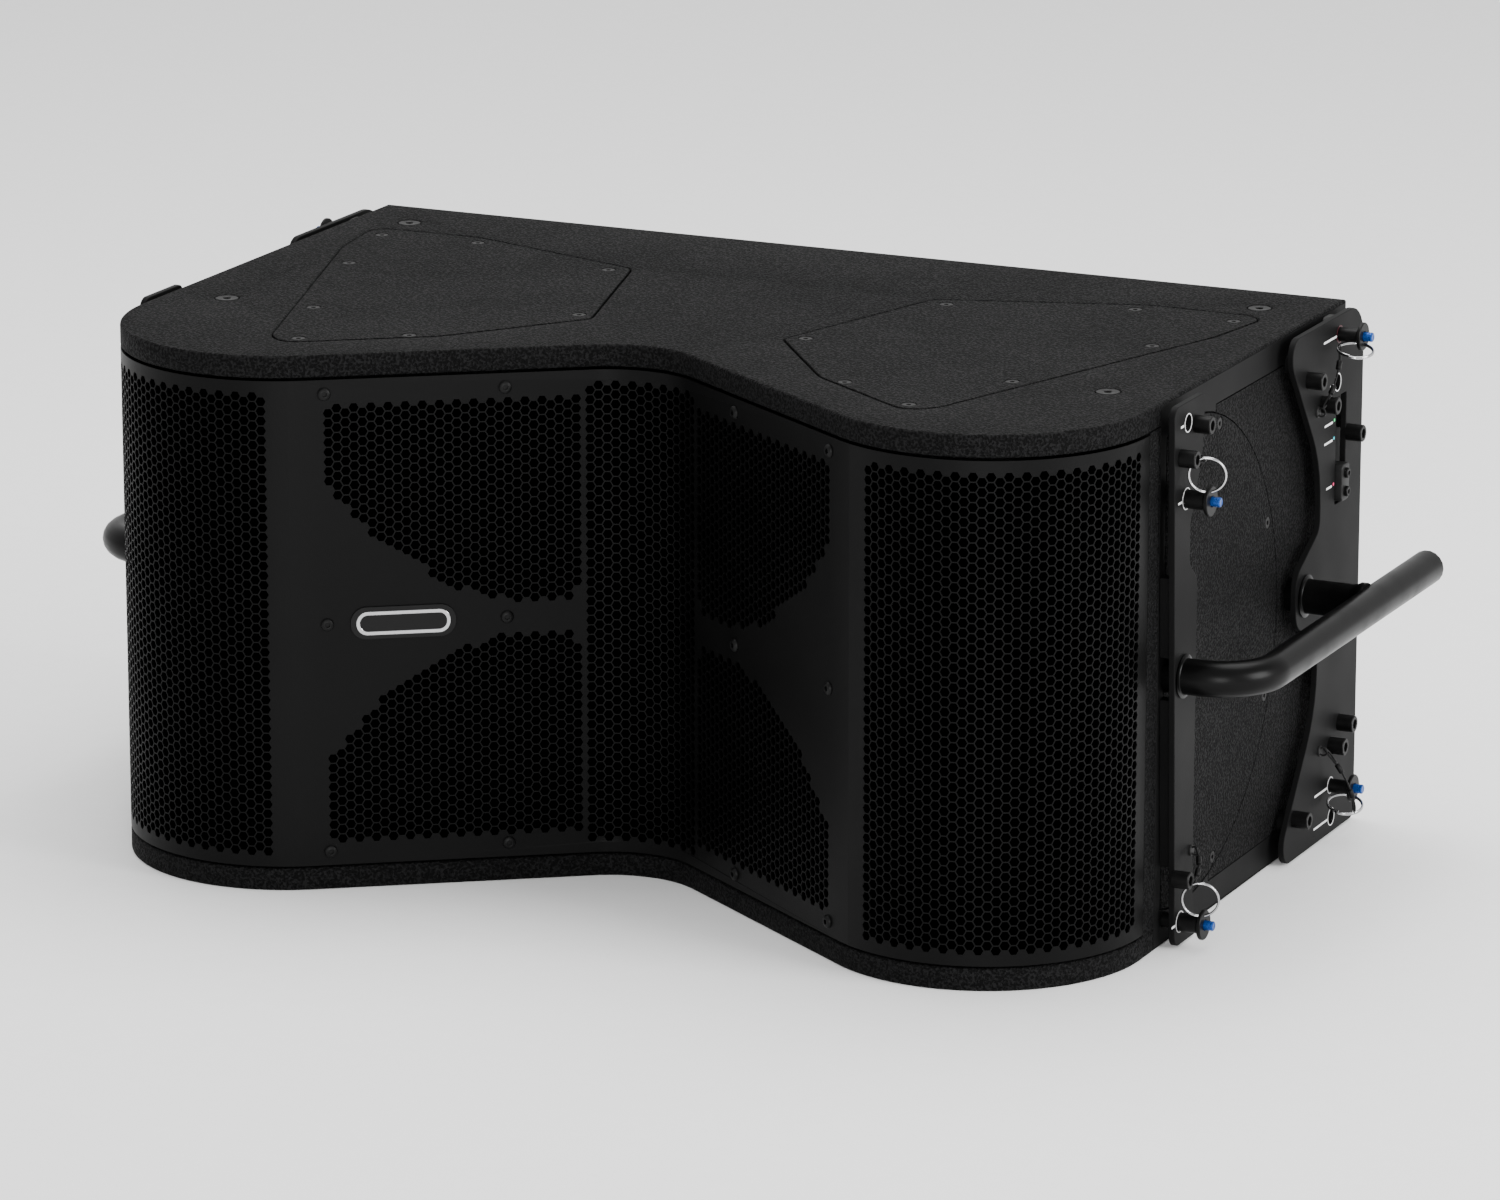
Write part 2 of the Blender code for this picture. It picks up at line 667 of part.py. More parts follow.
def woofer(side, word):
    """A baffle with a twelve-inch woofer: cast basket with its motor, and the moving cone."""
    x = side * WOOFER_X
    plane = WOOFER_PLANE
    near, far = span(side, BAFFLE_INNER_X, HALF - SIDE_CLEARANCE)
    lift = INNER - FIT
    board = box_mesh((near, plane + FIT, -lift), (far, plane + FIT + BAFFLE_THICK, lift))
    baffle = finish(f"{word}_woofer_baffle", board, BARE_PLY)
    axis = (0, 1, 0)
    hole = through_hole(plane - THROUGH, plane + BAFFLE_THICK + THROUGH, WOOFER_OPENING)
    cut(baffle, turned_mesh(hole, axis, (x, 0, 0), 24), f"{word}_woofer_opening")
    mesh = turned_mesh(behind(plane, WOOFER_BASKET), axis, (x, 0, 0), 20)
    finish(f"{word}_woofer_frame", mesh, CAST, smooth=True)
    mesh = turned_mesh(behind(plane, WOOFER_CONE), axis, (x, 0, 0), 20)
    finish(f"{word}_woofer_cone", mesh, PAPER, (x, plane, 0), smooth=True)


def mids(side, word):
    """A slanted baffle behind each flank with two midrange units, each with its own cone."""
    along = Vector((side * math.cos(FLANK_ANGLE), -math.sin(FLANK_ANGLE), 0))
    inward = Vector((side * math.sin(FLANK_ANGLE), math.cos(FLANK_ANGLE), 0))
    origin = Vector((side * MID_X, VEE_Y - MID_X * math.tan(FLANK_ANGLE), 0))
    front, back = MID_DEPTH, MID_DEPTH + MID_BAFFLE_THICK
    spots = ((-MID_S, front), (MID_S, front), (MID_S, back), (-MID_S, back))
    corners = [origin + along * s + inward * depth for s, depth in spots]
    lift = INNER - FIT
    board = prism_mesh([(c.x, c.y) for c in corners], -lift, lift)
    baffle = finish(f"{word}_mid_baffle", board, BARE_PLY)
    for z, level in ((MID_Z, "upper"), (-MID_Z, "lower")):
        centre = origin + Vector((0, 0, z))
        hole = through_hole(front - THROUGH, back + THROUGH, MID_OPENING)
        cut(baffle, turned_mesh(hole, inward, centre, 20), f"{word}_{level}_mid_opening")
        mesh = turned_mesh(behind(front, MID_BASKET), inward, centre, 16)
        finish(f"{word}_{level}_mid_driver", mesh, CAST, smooth=True)
        mesh = turned_mesh(behind(front, MID_CONE), inward, centre, 16)
        at = centre + inward * front
        finish(f"{word}_{level}_mid_cone", mesh, PAPER, at, smooth=True)


def wedge(half_widths, margin, half_height):
    """A prism between the horn's mouth and throat, passing both by a margin."""
    wide, narrow = half_widths
    near, far = HORN_MOUTH_Y - margin, HORN_THROAT_Y + margin
    outline = [(wide, near), (narrow, far), (-narrow, far), (-wide, near)]
    return prism_mesh(outline, -half_height, half_height)


def horn():
    """The high-frequency waveguide behind the vee, with a compression driver on each throat."""
    guide = finish("hf_waveguide", wedge(HORN_OUTSIDE, 0, HORN_Z), HORN_PLASTIC)
    cut(guide, wedge(HORN_FLARE, THROUGH, HORN_Z - HORN_WALL), "waveguide_flare")
    profile = behind(HORN_THROAT_Y + FIT, DRIVER)
    for z, level in ((DRIVER_Z, "upper"), (-DRIVER_Z, "lower")):
        mesh = turned_mesh(profile, (0, 1, 0), (0, 0, z), 16)
        finish(f"{level}_hf_driver", mesh, CAST, smooth=True)


def back():
    """The back panel, and the connector plate with its two sockets."""
    edge = HALF - SIDE_CLEARANCE
    lift = INNER - FIT
    board = box_mesh((-edge, BACK - PLY, -lift), (edge, BACK, lift))
    panel = finish("back_panel", board, PAINT)
    wide, tall = DISH
    hole = box_mesh((-wide, BACK - PLY - THROUGH, -tall), (wide, BACK + THROUGH, tall))
    cut(panel, hole, "connector_cut_out")
    face = BACK + FIT + DISH_THICK
    low = (-wide - DISH_RIM, BACK + FIT, -tall - DISH_RIM)
    high = (wide + DISH_RIM, face, tall + DISH_RIM)
    cover = finish("connector_plate", box_mesh(low, high), PLATE_STEEL)
    axis = (0, 1, 0)
    for side, word in ((1, "right"), (-1, "left")):
        place = (side * SOCKET_X, 0, 0)
        opening = through_hole(BACK - THROUGH, face + THROUGH, SOCKET_HOLE)
        cut(cover, turned_mesh(opening, axis, place, 16), f"{word}_socket_opening")
        mesh = turned_mesh(behind(face, SOCKET), axis, place, 16)
        finish(f"{word}_input_socket", mesh, SOCKET_PLASTIC, smooth=True)


lid_with_hatches()
lid_or_floor("bottom_panel", -1)
grille()
horn()
back()
for which, word in ((1, "right"), (-1, "left")):
    side_wall(which, word)
    side_frame(which, word)
    access_cover(which, word)
    rigging_plates(which, word)
    handle(which, word)
    links(which, word)
    woofer(which, word)
    mids(which, word)
    for position in PINS:
        pin_and_button(which, word, position)
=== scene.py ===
"""The looks of a W-fronted line array loudspeaker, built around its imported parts.

Everything is laid out in the cabinet's own frame: x across, y to the back from the line of the
two front corner bolts of the lid, z up from mid-height, in metres. hand_over() moves each finished
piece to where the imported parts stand.
"""

import math

import bmesh
import bpy
from mathutils import Matrix, Vector


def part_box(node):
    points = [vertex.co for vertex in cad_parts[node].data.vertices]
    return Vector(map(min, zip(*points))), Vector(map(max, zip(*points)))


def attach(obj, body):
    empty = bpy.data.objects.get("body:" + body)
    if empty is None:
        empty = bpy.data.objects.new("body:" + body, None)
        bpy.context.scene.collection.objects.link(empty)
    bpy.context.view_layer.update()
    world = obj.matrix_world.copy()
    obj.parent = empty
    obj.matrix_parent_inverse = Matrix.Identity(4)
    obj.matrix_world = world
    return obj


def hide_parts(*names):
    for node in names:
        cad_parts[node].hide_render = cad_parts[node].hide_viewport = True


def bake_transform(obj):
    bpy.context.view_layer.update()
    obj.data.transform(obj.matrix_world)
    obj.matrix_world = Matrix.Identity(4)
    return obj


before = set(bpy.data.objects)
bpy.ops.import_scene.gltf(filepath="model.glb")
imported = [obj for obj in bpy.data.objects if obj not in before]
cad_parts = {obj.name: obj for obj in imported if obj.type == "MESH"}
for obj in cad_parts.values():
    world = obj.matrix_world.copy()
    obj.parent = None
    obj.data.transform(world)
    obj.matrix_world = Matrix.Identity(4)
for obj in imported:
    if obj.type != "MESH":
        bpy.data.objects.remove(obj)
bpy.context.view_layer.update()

# Cabinet
HALF = 0.430
TOP = 0.215
PLY = 0.018
BACK = 0.372
INNER = TOP - PLY
EDGE_ROUND = 0.0022
ORIGIN = Vector((0.0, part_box("back_panel")[1].y - BACK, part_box("top_panel")[1].z - TOP))

# W-shaped front, mirrored about x = 0
FLANK = math.radians(34.8)
VEE_Y = 0.0038
VEE_RADIUS = 0.075
LOBE_RADIUS = 0.130
LOBE_X = HALF - LOBE_RADIUS
LOBE_Y = VEE_Y + (LOBE_RADIUS - LOBE_X * math.sin(FLANK)) / math.cos(FLANK)
VEE_CENTRE_Y = VEE_Y - VEE_RADIUS / math.cos(FLANK)

# Distances along the front from its middle: end of the vee, of the flank, of the lobe, of the sheet
VEE_END = VEE_RADIUS * FLANK
VEE_CORNER = Vector((VEE_RADIUS * math.sin(FLANK), VEE_CENTRE_Y + VEE_RADIUS * math.cos(FLANK)))
LOBE_CORNER = Vector(
    (LOBE_X - LOBE_RADIUS * math.sin(FLANK), LOBE_Y - LOBE_RADIUS * math.cos(FLANK))
)
FLANK_END = VEE_END + (LOBE_CORNER - VEE_CORNER).length
LOBE_END = FLANK_END + LOBE_RADIUS * (FLANK + math.pi / 2)
SHEET_END = LOBE_END + 0.0038

# Grille: a punched sheet with hexagonal holes
SHEET_THICK = 0.0015
SHEET_HALF_HEIGHT = 0.1952
PITCH = 0.0077
HOLE_SHARE = 0.87
COLUMN = PITCH * math.sqrt(3) / 2
SHEET_SPLIT = 0.282
LOBE_FIELD = 0.3028
LOBE_COLUMNS = 36
LOBE_ROWS = 48
HORN_COLUMNS = 15
HORN_ROWS = 48
MID_FIELD = 0.0575
MID_COLUMNS = 30
MID_LIMIT = 0.17645
MID_EDGE = (
    (0.0575, 0.0230),
    (0.0640, 0.0125),
    (0.0850, 0.0128),
    (0.0980, 0.0137),
    (0.1120, 0.0145),
    (0.1280, 0.0180),
    (0.1400, 0.0212),
    (0.1520, 0.0265),
    (0.2110, 0.0619),
    (0.2580, 0.1160),
)
CLOTH_DEPTH = 0.0040
CLOTH_THICK = 0.0008

# Lid hatches
HATCH_THICK = 0.006
HATCH_GAP = 0.0014
HATCH_OUTLINE = (
    (0.084, 0.056, 0.010),
    (0.163, -0.048, 0.060),
    (0.264, -0.119, 0.018),
    (0.283, -0.100, 0.030),
    (0.384, 0.205, 0.060),
    (0.396, 0.283, 0.016),
    (0.300, 0.286, 0.080),
    (0.134, 0.232, 0.014),
)
HATCH_SCREWS = (
    (0.3775, 0.2617),
    (0.3515, 0.1554),
    (0.3003, -0.0003),
    (0.2591, -0.1011),
    (0.1859, -0.0555),
    (0.0982, 0.0651),
    (0.1491, 0.2214),
    (0.2916, 0.2679),
)
LID_BOLTS = ((0.3785, 0.0), (0.3790, 0.3137))
GRILLE_SCREWS = ((0.2138, -0.1448), (0.0981, -0.0644))
GRILLE_SCREW_Z = (0.184, 0.0, -0.184)
LID_BOLT_RADIUS = 0.00925
HATCH_SCREW_RADIUS = 0.0055
GRILLE_SCREW_RADIUS = 0.00525
COVER_SCREW_RADIUS = 0.0050
SCREW_SUNK = 0.0002
BEND_STEP = 0.008

# Side skins
SKIN = 0.003
FIT = 0.0003
SEAM = 0.0012
FRAME_FRONT = -0.020
FRAME_REBATE = 0.0024
WINDOW_FRONT = 0.092
WINDOW_BACK = 0.345
WINDOW_HALF_HEIGHT = 0.1904
WINDOW_ROUND = 0.024
COVER_CENTRE_Y = 0.039
COVER_RADIUS = 0.1905
COVER_FRONT = -0.007
COVER_SCREWS = ((0.207, 0.070), (0.207, -0.070), (0.101, 0.173), (0.101, -0.173))

# Rigging plates
PLATE_FACE = 0.4435
PLATE_THICK = 0.005
PLATE_HALF_HEIGHT = 0.2135
SPACER_RADIUS = 0.007
FRONT_PLATE = (
    (-0.027, PLATE_HALF_HEIGHT, 0.009),
    (0.036, PLATE_HALF_HEIGHT, 0.006),
    (0.031, 0.165, 0.020),
    (0.009, 0.118, 0.020),
    (0.009, 0.086, 0.008),
    (0.025, 0.070, 0.010),
    (0.025, -0.175, 0.030),
    (0.033, -PLATE_HALF_HEIGHT, 0.003),
    (-0.011, -PLATE_HALF_HEIGHT, 0.010),
)
REAR_PLATE_FRONT_EDGE = (
    (0.220, PLATE_HALF_HEIGHT, 0.014),
    (0.220, 0.192, 0.020),
    (0.287, 0.100, 0.100),
    (0.287, 0.047, 0.014),
    (0.237, 0.020, 0.018),
)
REAR_PLATE_BACK = 0.378
REAR_PLATE_TOP_ROUND = 0.030
SLOT = (0.319, 0.341, 0.060, 0.148)
SPARE_HOLE_RADIUS = 0.0062
FRONT_SPARE = ((0.001, 0.197),)
REAR_SPARE = ((0.3206, 0.1596), (0.326, -0.200))
FRONT_POSTS = ((0.0225, 0.186), (0.006, -0.060), (0.006, -0.140))
REAR_POSTS = ((0.243, 0.190), (0.360, 0.120), (0.350, -0.090), (0.245, -0.185))
FRONT_BOSSES = ((0.0169, 0.1927), (-0.0128, 0.1727), (-0.0130, -0.1571))
REAR_BOSSES = (
    (0.2551, 0.1751),
    (0.2876, 0.1487),
    (0.3456, 0.1137),
    (0.3402, -0.1249),
    (0.3205, -0.1389),
    (0.2420, -0.1792),
)
BOSS_RADIUS = 0.00685
BOSS_END = 0.4570
BOSS_BORE = 0.0038

# Handles
TUBE_RADIUS = 0.014
GRIP_X = 0.500
BEND_RADIUS = 0.043
GRIP_END = 0.383
FRONT_LEG_Y = 0.0
REAR_LEG_Y = 0.258
# Weld collars: distance out from the plate, and outside the tube
WELD = ((0, 0.0001), (0, 0.0018), (0.0012, 0.0032), (0.0018, 0.0008), (0.0024, 0.0001))

# Pins: y, z, shank radius, body radius and flange radius
PINS = {
    "front_upper": (0.0, 0.1385, 0.0060, 0.0072, 0.0117),
    "front_lower": (0.0, -0.1950, 0.0060, 0.0072, 0.0117),
    "rear_upper": (0.323, 0.1980, 0.0045, 0.0056, 0.0112),
    "rear_lower": (0.323, -0.1730, 0.0045, 0.0056, 0.0112),
}
PIN_TIP = 0.4273
PIN_FLANGE = (0.4610, 0.4642)
PIN_BORE = 0.0042
PIN_BORE_END = 0.4465
BUTTON_RADIUS = 0.0038
BUTTON_SPAN = (0.4515, 0.4714)
HOLE_CLEARANCE = 0.0004

# Links
LINK_X = (0.4320, 0.4368)
FRONT_LINK_TRAVEL = 0.0965
FRONT_LINK_WIDTH = 0.018
REAR_LINK_TRAVEL = 0.055
REAR_LINK_WIDTH = 0.022
LINK_END = 0.014
LINK_GRIP = (0.3212, 0.3380, 0.062, 0.092)
LINK_GRIP_FACE = 0.4485
LINK_BELOW_GRIP = 0.008
LINK_BOLT_Z = (0.0695, 0.0845)
LINK_BOLT = (0.0042, 0.0030)

# Split rings: centre from the middle of the pin's flange, and the direction square to the ring
RING_RADIUS = 0.0140
RING_WIRE = 0.0009
RING_STEPS = 120
RINGS = {
    "front_upper": ((-0.0012, -0.0040, 0.0211), (0.33, -0.93, -0.16)),
    "front_lower": ((-0.0012, -0.0040, 0.0211), (0.33, -0.93, -0.16)),
    "rear_upper": ((-0.0010, -0.0130, -0.0085), (0.12, -0.16, 0.98)),
    "rear_lower": ((-0.0015, -0.0130, -0.0100), (0.15, -0.25, 0.95)),
}

# Lanyards: place of the eyelet, the turn at which the wire holds the ring, and how far it bows out
EYE_RADIUS = 0.0032
EYE_WIRE = 0.0008
WIRE_RADIUS = 0.0008
WIRE_SPREAD = 0.0019
FERRULE = 0.0022
FERRULE_LENGTH = 0.0075
FERRULE_EDGE = 0.0005
LOOP_SHARE = 0.26
LOOP_SHAPE = ((0.0, 0.3), (0.3, 1.0), (0.65, 0.75), (0.9, 0.4), (1.15, 0.35))
LANYARDS = {
    "front_upper": ((0.0150, 0.1640), 0.35, 0.004),
    "front_lower": ((0.0203, -0.1435), 0.35, 0.004),
    "rear_upper": ((0.2771, 0.1448), 4.53, 0.004),
    "rear_lower": ((0.2967, -0.1376), 0.97, 0.006),
}

# Print on the plates: bars end at y and run forwards, bands lie outside a hole or a pin's body
PRINT_THICK = 0.00015
BAR_HALF = 0.0009
BAR_ROUND = 0.0003
DOT_RADIUS = 0.0013
SPARE_BAND = (0.0004, 0.0012)
PIN_BAND = (0.0006, 0.0014)
RED_BAND = (0.0006, 0.0016)
BARS = (
    (-0.0080, 0.1965, 0.006),
    (-0.0100, 0.1380, 0.007),
    (-0.0100, -0.1955, 0.007),
    (0.3165, 0.1976, 0.029),
    (0.3125, 0.1592, 0.009),
    (0.3165, -0.1735, 0.029),
    (0.3180, -0.2005, 0.031),
    (0.3110, 0.1291, 0.018),
    (0.3110, 0.1145, 0.018),
    (0.3115, 0.0770, 0.012),
)
DOTS = {
    "green_dot": (0.3146, 0.1301, "green_print"),
    "cyan_dot": (0.3143, 0.1155, "cyan_print"),
    "pink_dot": (0.3152, 0.0778, "pink_print"),
}

# Strips behind the front plate's front edge
PACKER_ROUND = 0.001
PACKERS = (
    ((-0.0185, 0.080), (-0.0098, 0.080), (-0.0098, 0.0165), (-0.0160, 0.0165)),
    ((-0.0150, -0.0165), (-0.0050, -0.0165), (-0.0050, -0.150), (-0.0100, -0.150)),
)

# Badge on the left flank: name, half length, half height, how far it stands out, finish
BADGE_S = -0.1944
BADGE = (
    ("badge_plate", 0.0415, 0.0130, 0.0016, "horn_plastic"),
    ("badge_frame", 0.0370, 0.0095, 0.0024, "bright_wire"),
)
BADGE_STROKE = 0.0030

# Rear connector plate
DISH = (0.080, 0.052)
SOCKET_X = 0.038
SOCKET_HOLE = 0.0125
DISH_RIM = 0.012
DISH_THICK = 0.0025
DISH_SCREW_OUT = 0.005

# Camera
AZIMUTH = math.radians(25.06)
ELEVATION = math.radians(15.07)
CAMERA_PLACE = (2.4041, -5.0720, 1.7101)
LENS = 175.49

FLOOR_HALF = 30.0
SURROUND = 1.1
LAMPS = (
    # name, place, width, height and power
    ("right_soft", (4.4, -0.4, 1.7), 2.2, 2.2, 235.0),
    ("top_soft", (-0.2, 0.8, 3.4), 3.2, 2.2, 120.0),
    ("front_right", (1.9, -4.0, 1.0), 1.0, 1.6, 90.0),
)

SIDES = ((1, "right"), (-1, "left"))


# Shaders


class Pattern:
    """A shader socket that takes part in arithmetic, and can feed any other node."""

    def __init__(self, tree, socket):
        self.tree = tree
        self.socket = socket

    def node(self, kind, inputs, out=0, **settings):
        """A new node: its settings first, then the values or patterns of its sockets."""
        made = self.tree.nodes.new(kind)
        for word, value in settings.items():
            setattr(made, word, value)
        for key, value in inputs.items():
            if isinstance(value, Pattern):
                self.tree.links.new(value.socket, made.inputs[key])
            else:
                made.inputs[key].default_value = value
        return Pattern(self.tree, made.outputs[out])

    def sum_of(self, operation, first, second):
        return self.node("ShaderNodeMath", {0: first, 1: second}, operation=operation)

    def __add__(self, other):
        return self.sum_of("ADD", self, other)

    def __radd__(self, other):
        return self.sum_of("ADD", other, self)

    def __rsub__(self, other):
        return self.sum_of("SUBTRACT", other, self)

    def __mul__(self, other):
        return self.sum_of("MULTIPLY", self, other)

    def between(self, low, high):
        """0 below low, 1 above high and a ramp between them."""
        return self.node("ShaderNodeMapRange", {0: self, 1: low, 2: high})

    def noise(self, size, detail=2.0):
        """Soft random blotches about size metres across, from 0 to 1."""
        inputs = {"Vector": self, "Scale": 1 / size, "Detail": detail}
        return self.node("ShaderNodeTexNoise", inputs)

    def blend(self, first, second):
        """The first colour where this is 0, the second where it is 1."""
        ends = {0: self, 6: (*first, 1.0), 7: (*second, 1.0)}
        return self.node("ShaderNodeMix", ends, out=2, data_type="RGBA")

    def dents(self, height, strength=1.0):
        """A surface that this pattern raises by up to height metres."""
        inputs = {"Height": self, "Distance": height, "Strength": strength}
        return self.node("ShaderNodeBump", inputs)


def finish_of(name, metallic=0.0, **constants):
    """A material with its shader, and the place on the object as a pattern."""
    made = bpy.data.materials.new(name)
    made.use_nodes = True
    tree = made.node_tree
    shader = tree.nodes["Principled BSDF"]
    shader.inputs["Metallic"].default_value = metallic
    for word, value in constants.items():
        shader.inputs[word.replace("_", " ")].default_value = value
    where = Pattern(tree, tree.nodes.new("ShaderNodeTexCoord").outputs["Object"])

    def paint(**sockets):
        for word, value in sockets.items():
            tree.links.new(value.socket, shader.inputs[word.replace("_", " ")])
        return made

    return where, paint


def grey(level, tint=0.0):
    """A near-neutral colour, a little blue where tint is above 0."""
    return (level, level, level * (1 + tint))


def textured_paint():
    """Sprayed-on cabinet paint: a pebbled skin with paler tops, and faint handling marks."""
    where, paint = finish_of("textured_paint", Specular_IOR_Level=0.05)
    pebble = where.noise(0.0021, 1.0).between(0.40, 0.62)
    fine = where.noise(0.0006, 0.0)
    wear = where.noise(0.09, 3.0).between(0.35, 0.75)
    speck = pebble * 0.75 + fine * 0.35
    return paint(
        Base_Color=speck.blend(grey(0.0003), grey(0.0078, 0.03)),
        Roughness=0.72 - pebble * 0.16 + wear * 0.06,
        Normal=(pebble + fine * 0.4).dents(0.00080),
    )


def coated_steel(name, dark, pale, roughness, shine):
    """Powder coat on sheet steel: a fine orange-peel skin."""
    where, paint = finish_of(name, Specular_IOR_Level=shine)
    peel = where.noise(0.0011, 1.0)
    cloud = where.noise(0.06, 2.0).between(0.3, 0.7)
    return paint(
        Base_Color=(peel * 0.6 + cloud * 0.4).blend(grey(dark), grey(pale, 0.02)),
        Roughness=roughness + cloud * 0.07,
        Normal=peel.dents(0.00012, 0.7),
    )


def satin_black():
    where, paint = finish_of("satin_black_tube", Specular_IOR_Level=0.10)
    rub = where.noise(0.03, 3.0).between(0.45, 0.8)
    fine = where.noise(0.0008, 1.0)
    return paint(
        Base_Color=rub.blend(grey(0.0008), grey(0.0016)),
        Roughness=0.30 + rub * 0.12,
        Normal=fine.dents(0.00004, 0.5),
    )


def black_oxide(name, dark, pale, roughness, metallic):
    """Oiled black steel with turning marks."""
    where, paint = finish_of(name, metallic=metallic, Specular_IOR_Level=0.12)
    mark = where.noise(0.0005, 2.0)
    blot = where.noise(0.008, 2.0).between(0.3, 0.7)
    return paint(
        Base_Color=(mark * 0.4 + blot * 0.6).blend(grey(dark), grey(pale)),
        Roughness=roughness + mark * 0.12,
        Normal=mark.dents(0.00003, 0.5),
    )


def grained(name, grain, colours, roughness, spread, dent=None, **constants):
    """One fine grain that drives the colour, the roughness and, where given, the dents."""
    where, paint = finish_of(name, **constants)
    mark = where.noise(*grain)
    sockets = {"Base_Color": mark.blend(*colours), "Roughness": roughness + mark * spread}
    if dent:
        sockets["Normal"] = mark.dents(*dent)
    return paint(**sockets)


def moulded(name, dark, pale, roughness):
    """Moulded black plastic with a spark-eroded skin."""
    colours = (grey(dark), grey(pale))
    return grained(
        name, (0.0007, 2.0), colours, roughness, 0.12, (0.00006, 0.7), Specular_IOR_Level=0.15
    )


def printed(name, dark, pale):
    """Ink on a plate, a little uneven."""
    where, paint = finish_of(name)
    ink = where.noise(0.0012, 2.0).between(0.25, 0.5)
    return paint(Base_Color=ink.blend(dark, pale), Roughness=0.45 + ink * 0.1)


def printed_dot(name, *colour):
    return printed(name, tuple(level * 0.7 for level in colour), colour)


def acoustic_cloth():
    """Open black scrim behind the grille, kept near black with no shine: painted shade for the dark
    seen through the holes.
    """
    where, paint = finish_of("acoustic_cloth", Specular_IOR_Level=0.0)
    thread = {"Vector": where, "Scale": 400.0}
    across = where.node("ShaderNodeTexWave", thread, bands_direction="X")
    upright = where.node("ShaderNodeTexWave", thread, bands_direction="Z")
    weave = across.sum_of("MAXIMUM", across, upright)
    return paint(
        # Painted shade: the weave is kept far darker than real cloth, so the holes read as the
        # shade inside the cabinet.
        Base_Color=weave.blend(grey(0.00008), grey(0.00022)),
        Roughness=0.9 + weave * 0.08,
        Normal=weave.dents(0.0003),
    )


FINISHES = {
    "textured_paint": textured_paint(),
    "grille_steel": coated_steel("grille_steel", 0.0009, 0.0018, 0.40, 0.08),
    "dark_steel": coated_steel("dark_steel", 0.0036, 0.0054, 0.50, 0.05),
    "handle_black": satin_black(),
    "pin_black": black_oxide("pin_black", 0.0010, 0.0032, 0.36, 0.0),
    "button_blue": grained(
        "blue_anodised",
        (0.0007, 2.0),
        ((0.0010, 0.030, 0.170), (0.0030, 0.070, 0.310)),
        0.22,
        0.12,
        metallic=0.55,
    ),
    "link_steel": black_oxide("link_steel", 0.0060, 0.0140, 0.42, 0.1),
    "cast_metal": grained(
        "cast_metal", (0.0012, 3.0), (grey(0.16), grey(0.30)), 0.42, 0.2, (0.0002,), metallic=0.85
    ),
    "cone": grained("paper_cone", (0.0018, 4.0), (grey(0.010), grey(0.030)), 0.85, 0.1, (0.0002,)),
    "horn_plastic": moulded("horn_plastic", 0.0012, 0.0026, 0.36),
    "socket_plastic": moulded("socket_plastic", 0.0030, 0.0070, 0.32),
    "bright_wire": grained(
        "bright_wire", (0.0009, 2.0), (grey(0.34), grey(0.52, 0.02)), 0.10, 0.12, metallic=1.0
    ),
    "black_fastener": black_oxide("black_fastener", 0.0012, 0.0036, 0.38, 0.0),
    "white_print": printed("white_print", grey(0.34), grey(0.66)),
    "acoustic_cloth": acoustic_cloth(),
    "green_print": printed_dot("green_print", 0.02, 0.55, 0.16),
    "cyan_print": printed_dot("cyan_print", 0.01, 0.50, 0.60),
    "pink_print": printed_dot("pink_print", 0.70, 0.05, 0.16),
    "red_print": printed_dot("red_print", 0.060, 0.001, 0.008),
}
SLOTS = {f"{colour}_print": "white_print" for colour in ("green", "cyan", "pink", "red")}


# Shapes


def arc(cx, cy, radius, start, end, steps):
    """Points of an arc in degrees, both ends included."""
    turns = [math.radians(start + (end - start) * i / steps) for i in range(steps + 1)]
    return [(cx + radius * math.cos(a), cy + radius * math.sin(a)) for a in turns]


def rounded(corners, step=7.5):
    """A closed outline from (a, b, radius) corners, each one turned into an arc."""
    points = []
    for i, (a, b, radius) in enumerate(corners):
        here = Vector((a, b))
        back = (Vector(corners[i - 1][:2]) - here).normalized()
        ahead = (Vector(corners[(i + 1) % len(corners)][:2]) - here).normalized()
        half = back.angle(ahead) / 2
        reach = radius / math.tan(half)
        centre = here + (back + ahead).normalized() * (radius / math.sin(half))
        first = here + back * reach - centre
        turn = first.angle_signed(here + ahead * reach - centre)
        steps = max(2, math.ceil(abs(math.degrees(turn)) / step))
        for k in range(steps + 1):
            spoke = Matrix.Rotation(-turn * k / steps, 2) @ first
            points.append((centre.x + spoke.x, centre.y + spoke.y))
    return points


def slot_outline(y_low, y_high, z_low, z_high, radius):
    corners = ((y_low, z_low), (y_high, z_low), (y_high, z_high), (y_low, z_high))
    return rounded([(y, z, radius) for y, z in corners])


def round_hole(y, z, radius, sides=28):
    return arc(y, z, radius, 0, 360, sides)[:-1]


def front_curve(inset, lobe_steps=56, vee_steps=20):
    """The W-shaped front from the right side to the left one, moved back by inset."""
    flank = math.degrees(FLANK)
    lobe = arc(LOBE_X, LOBE_Y, LOBE_RADIUS - inset, 0, -90 - flank, lobe_steps)
    vee = arc(0, VEE_CENTRE_Y, VEE_RADIUS + inset, 90 - flank, 90 + flank, vee_steps)
    return lobe + vee + [(-x, y) for x, y in reversed(lobe)]


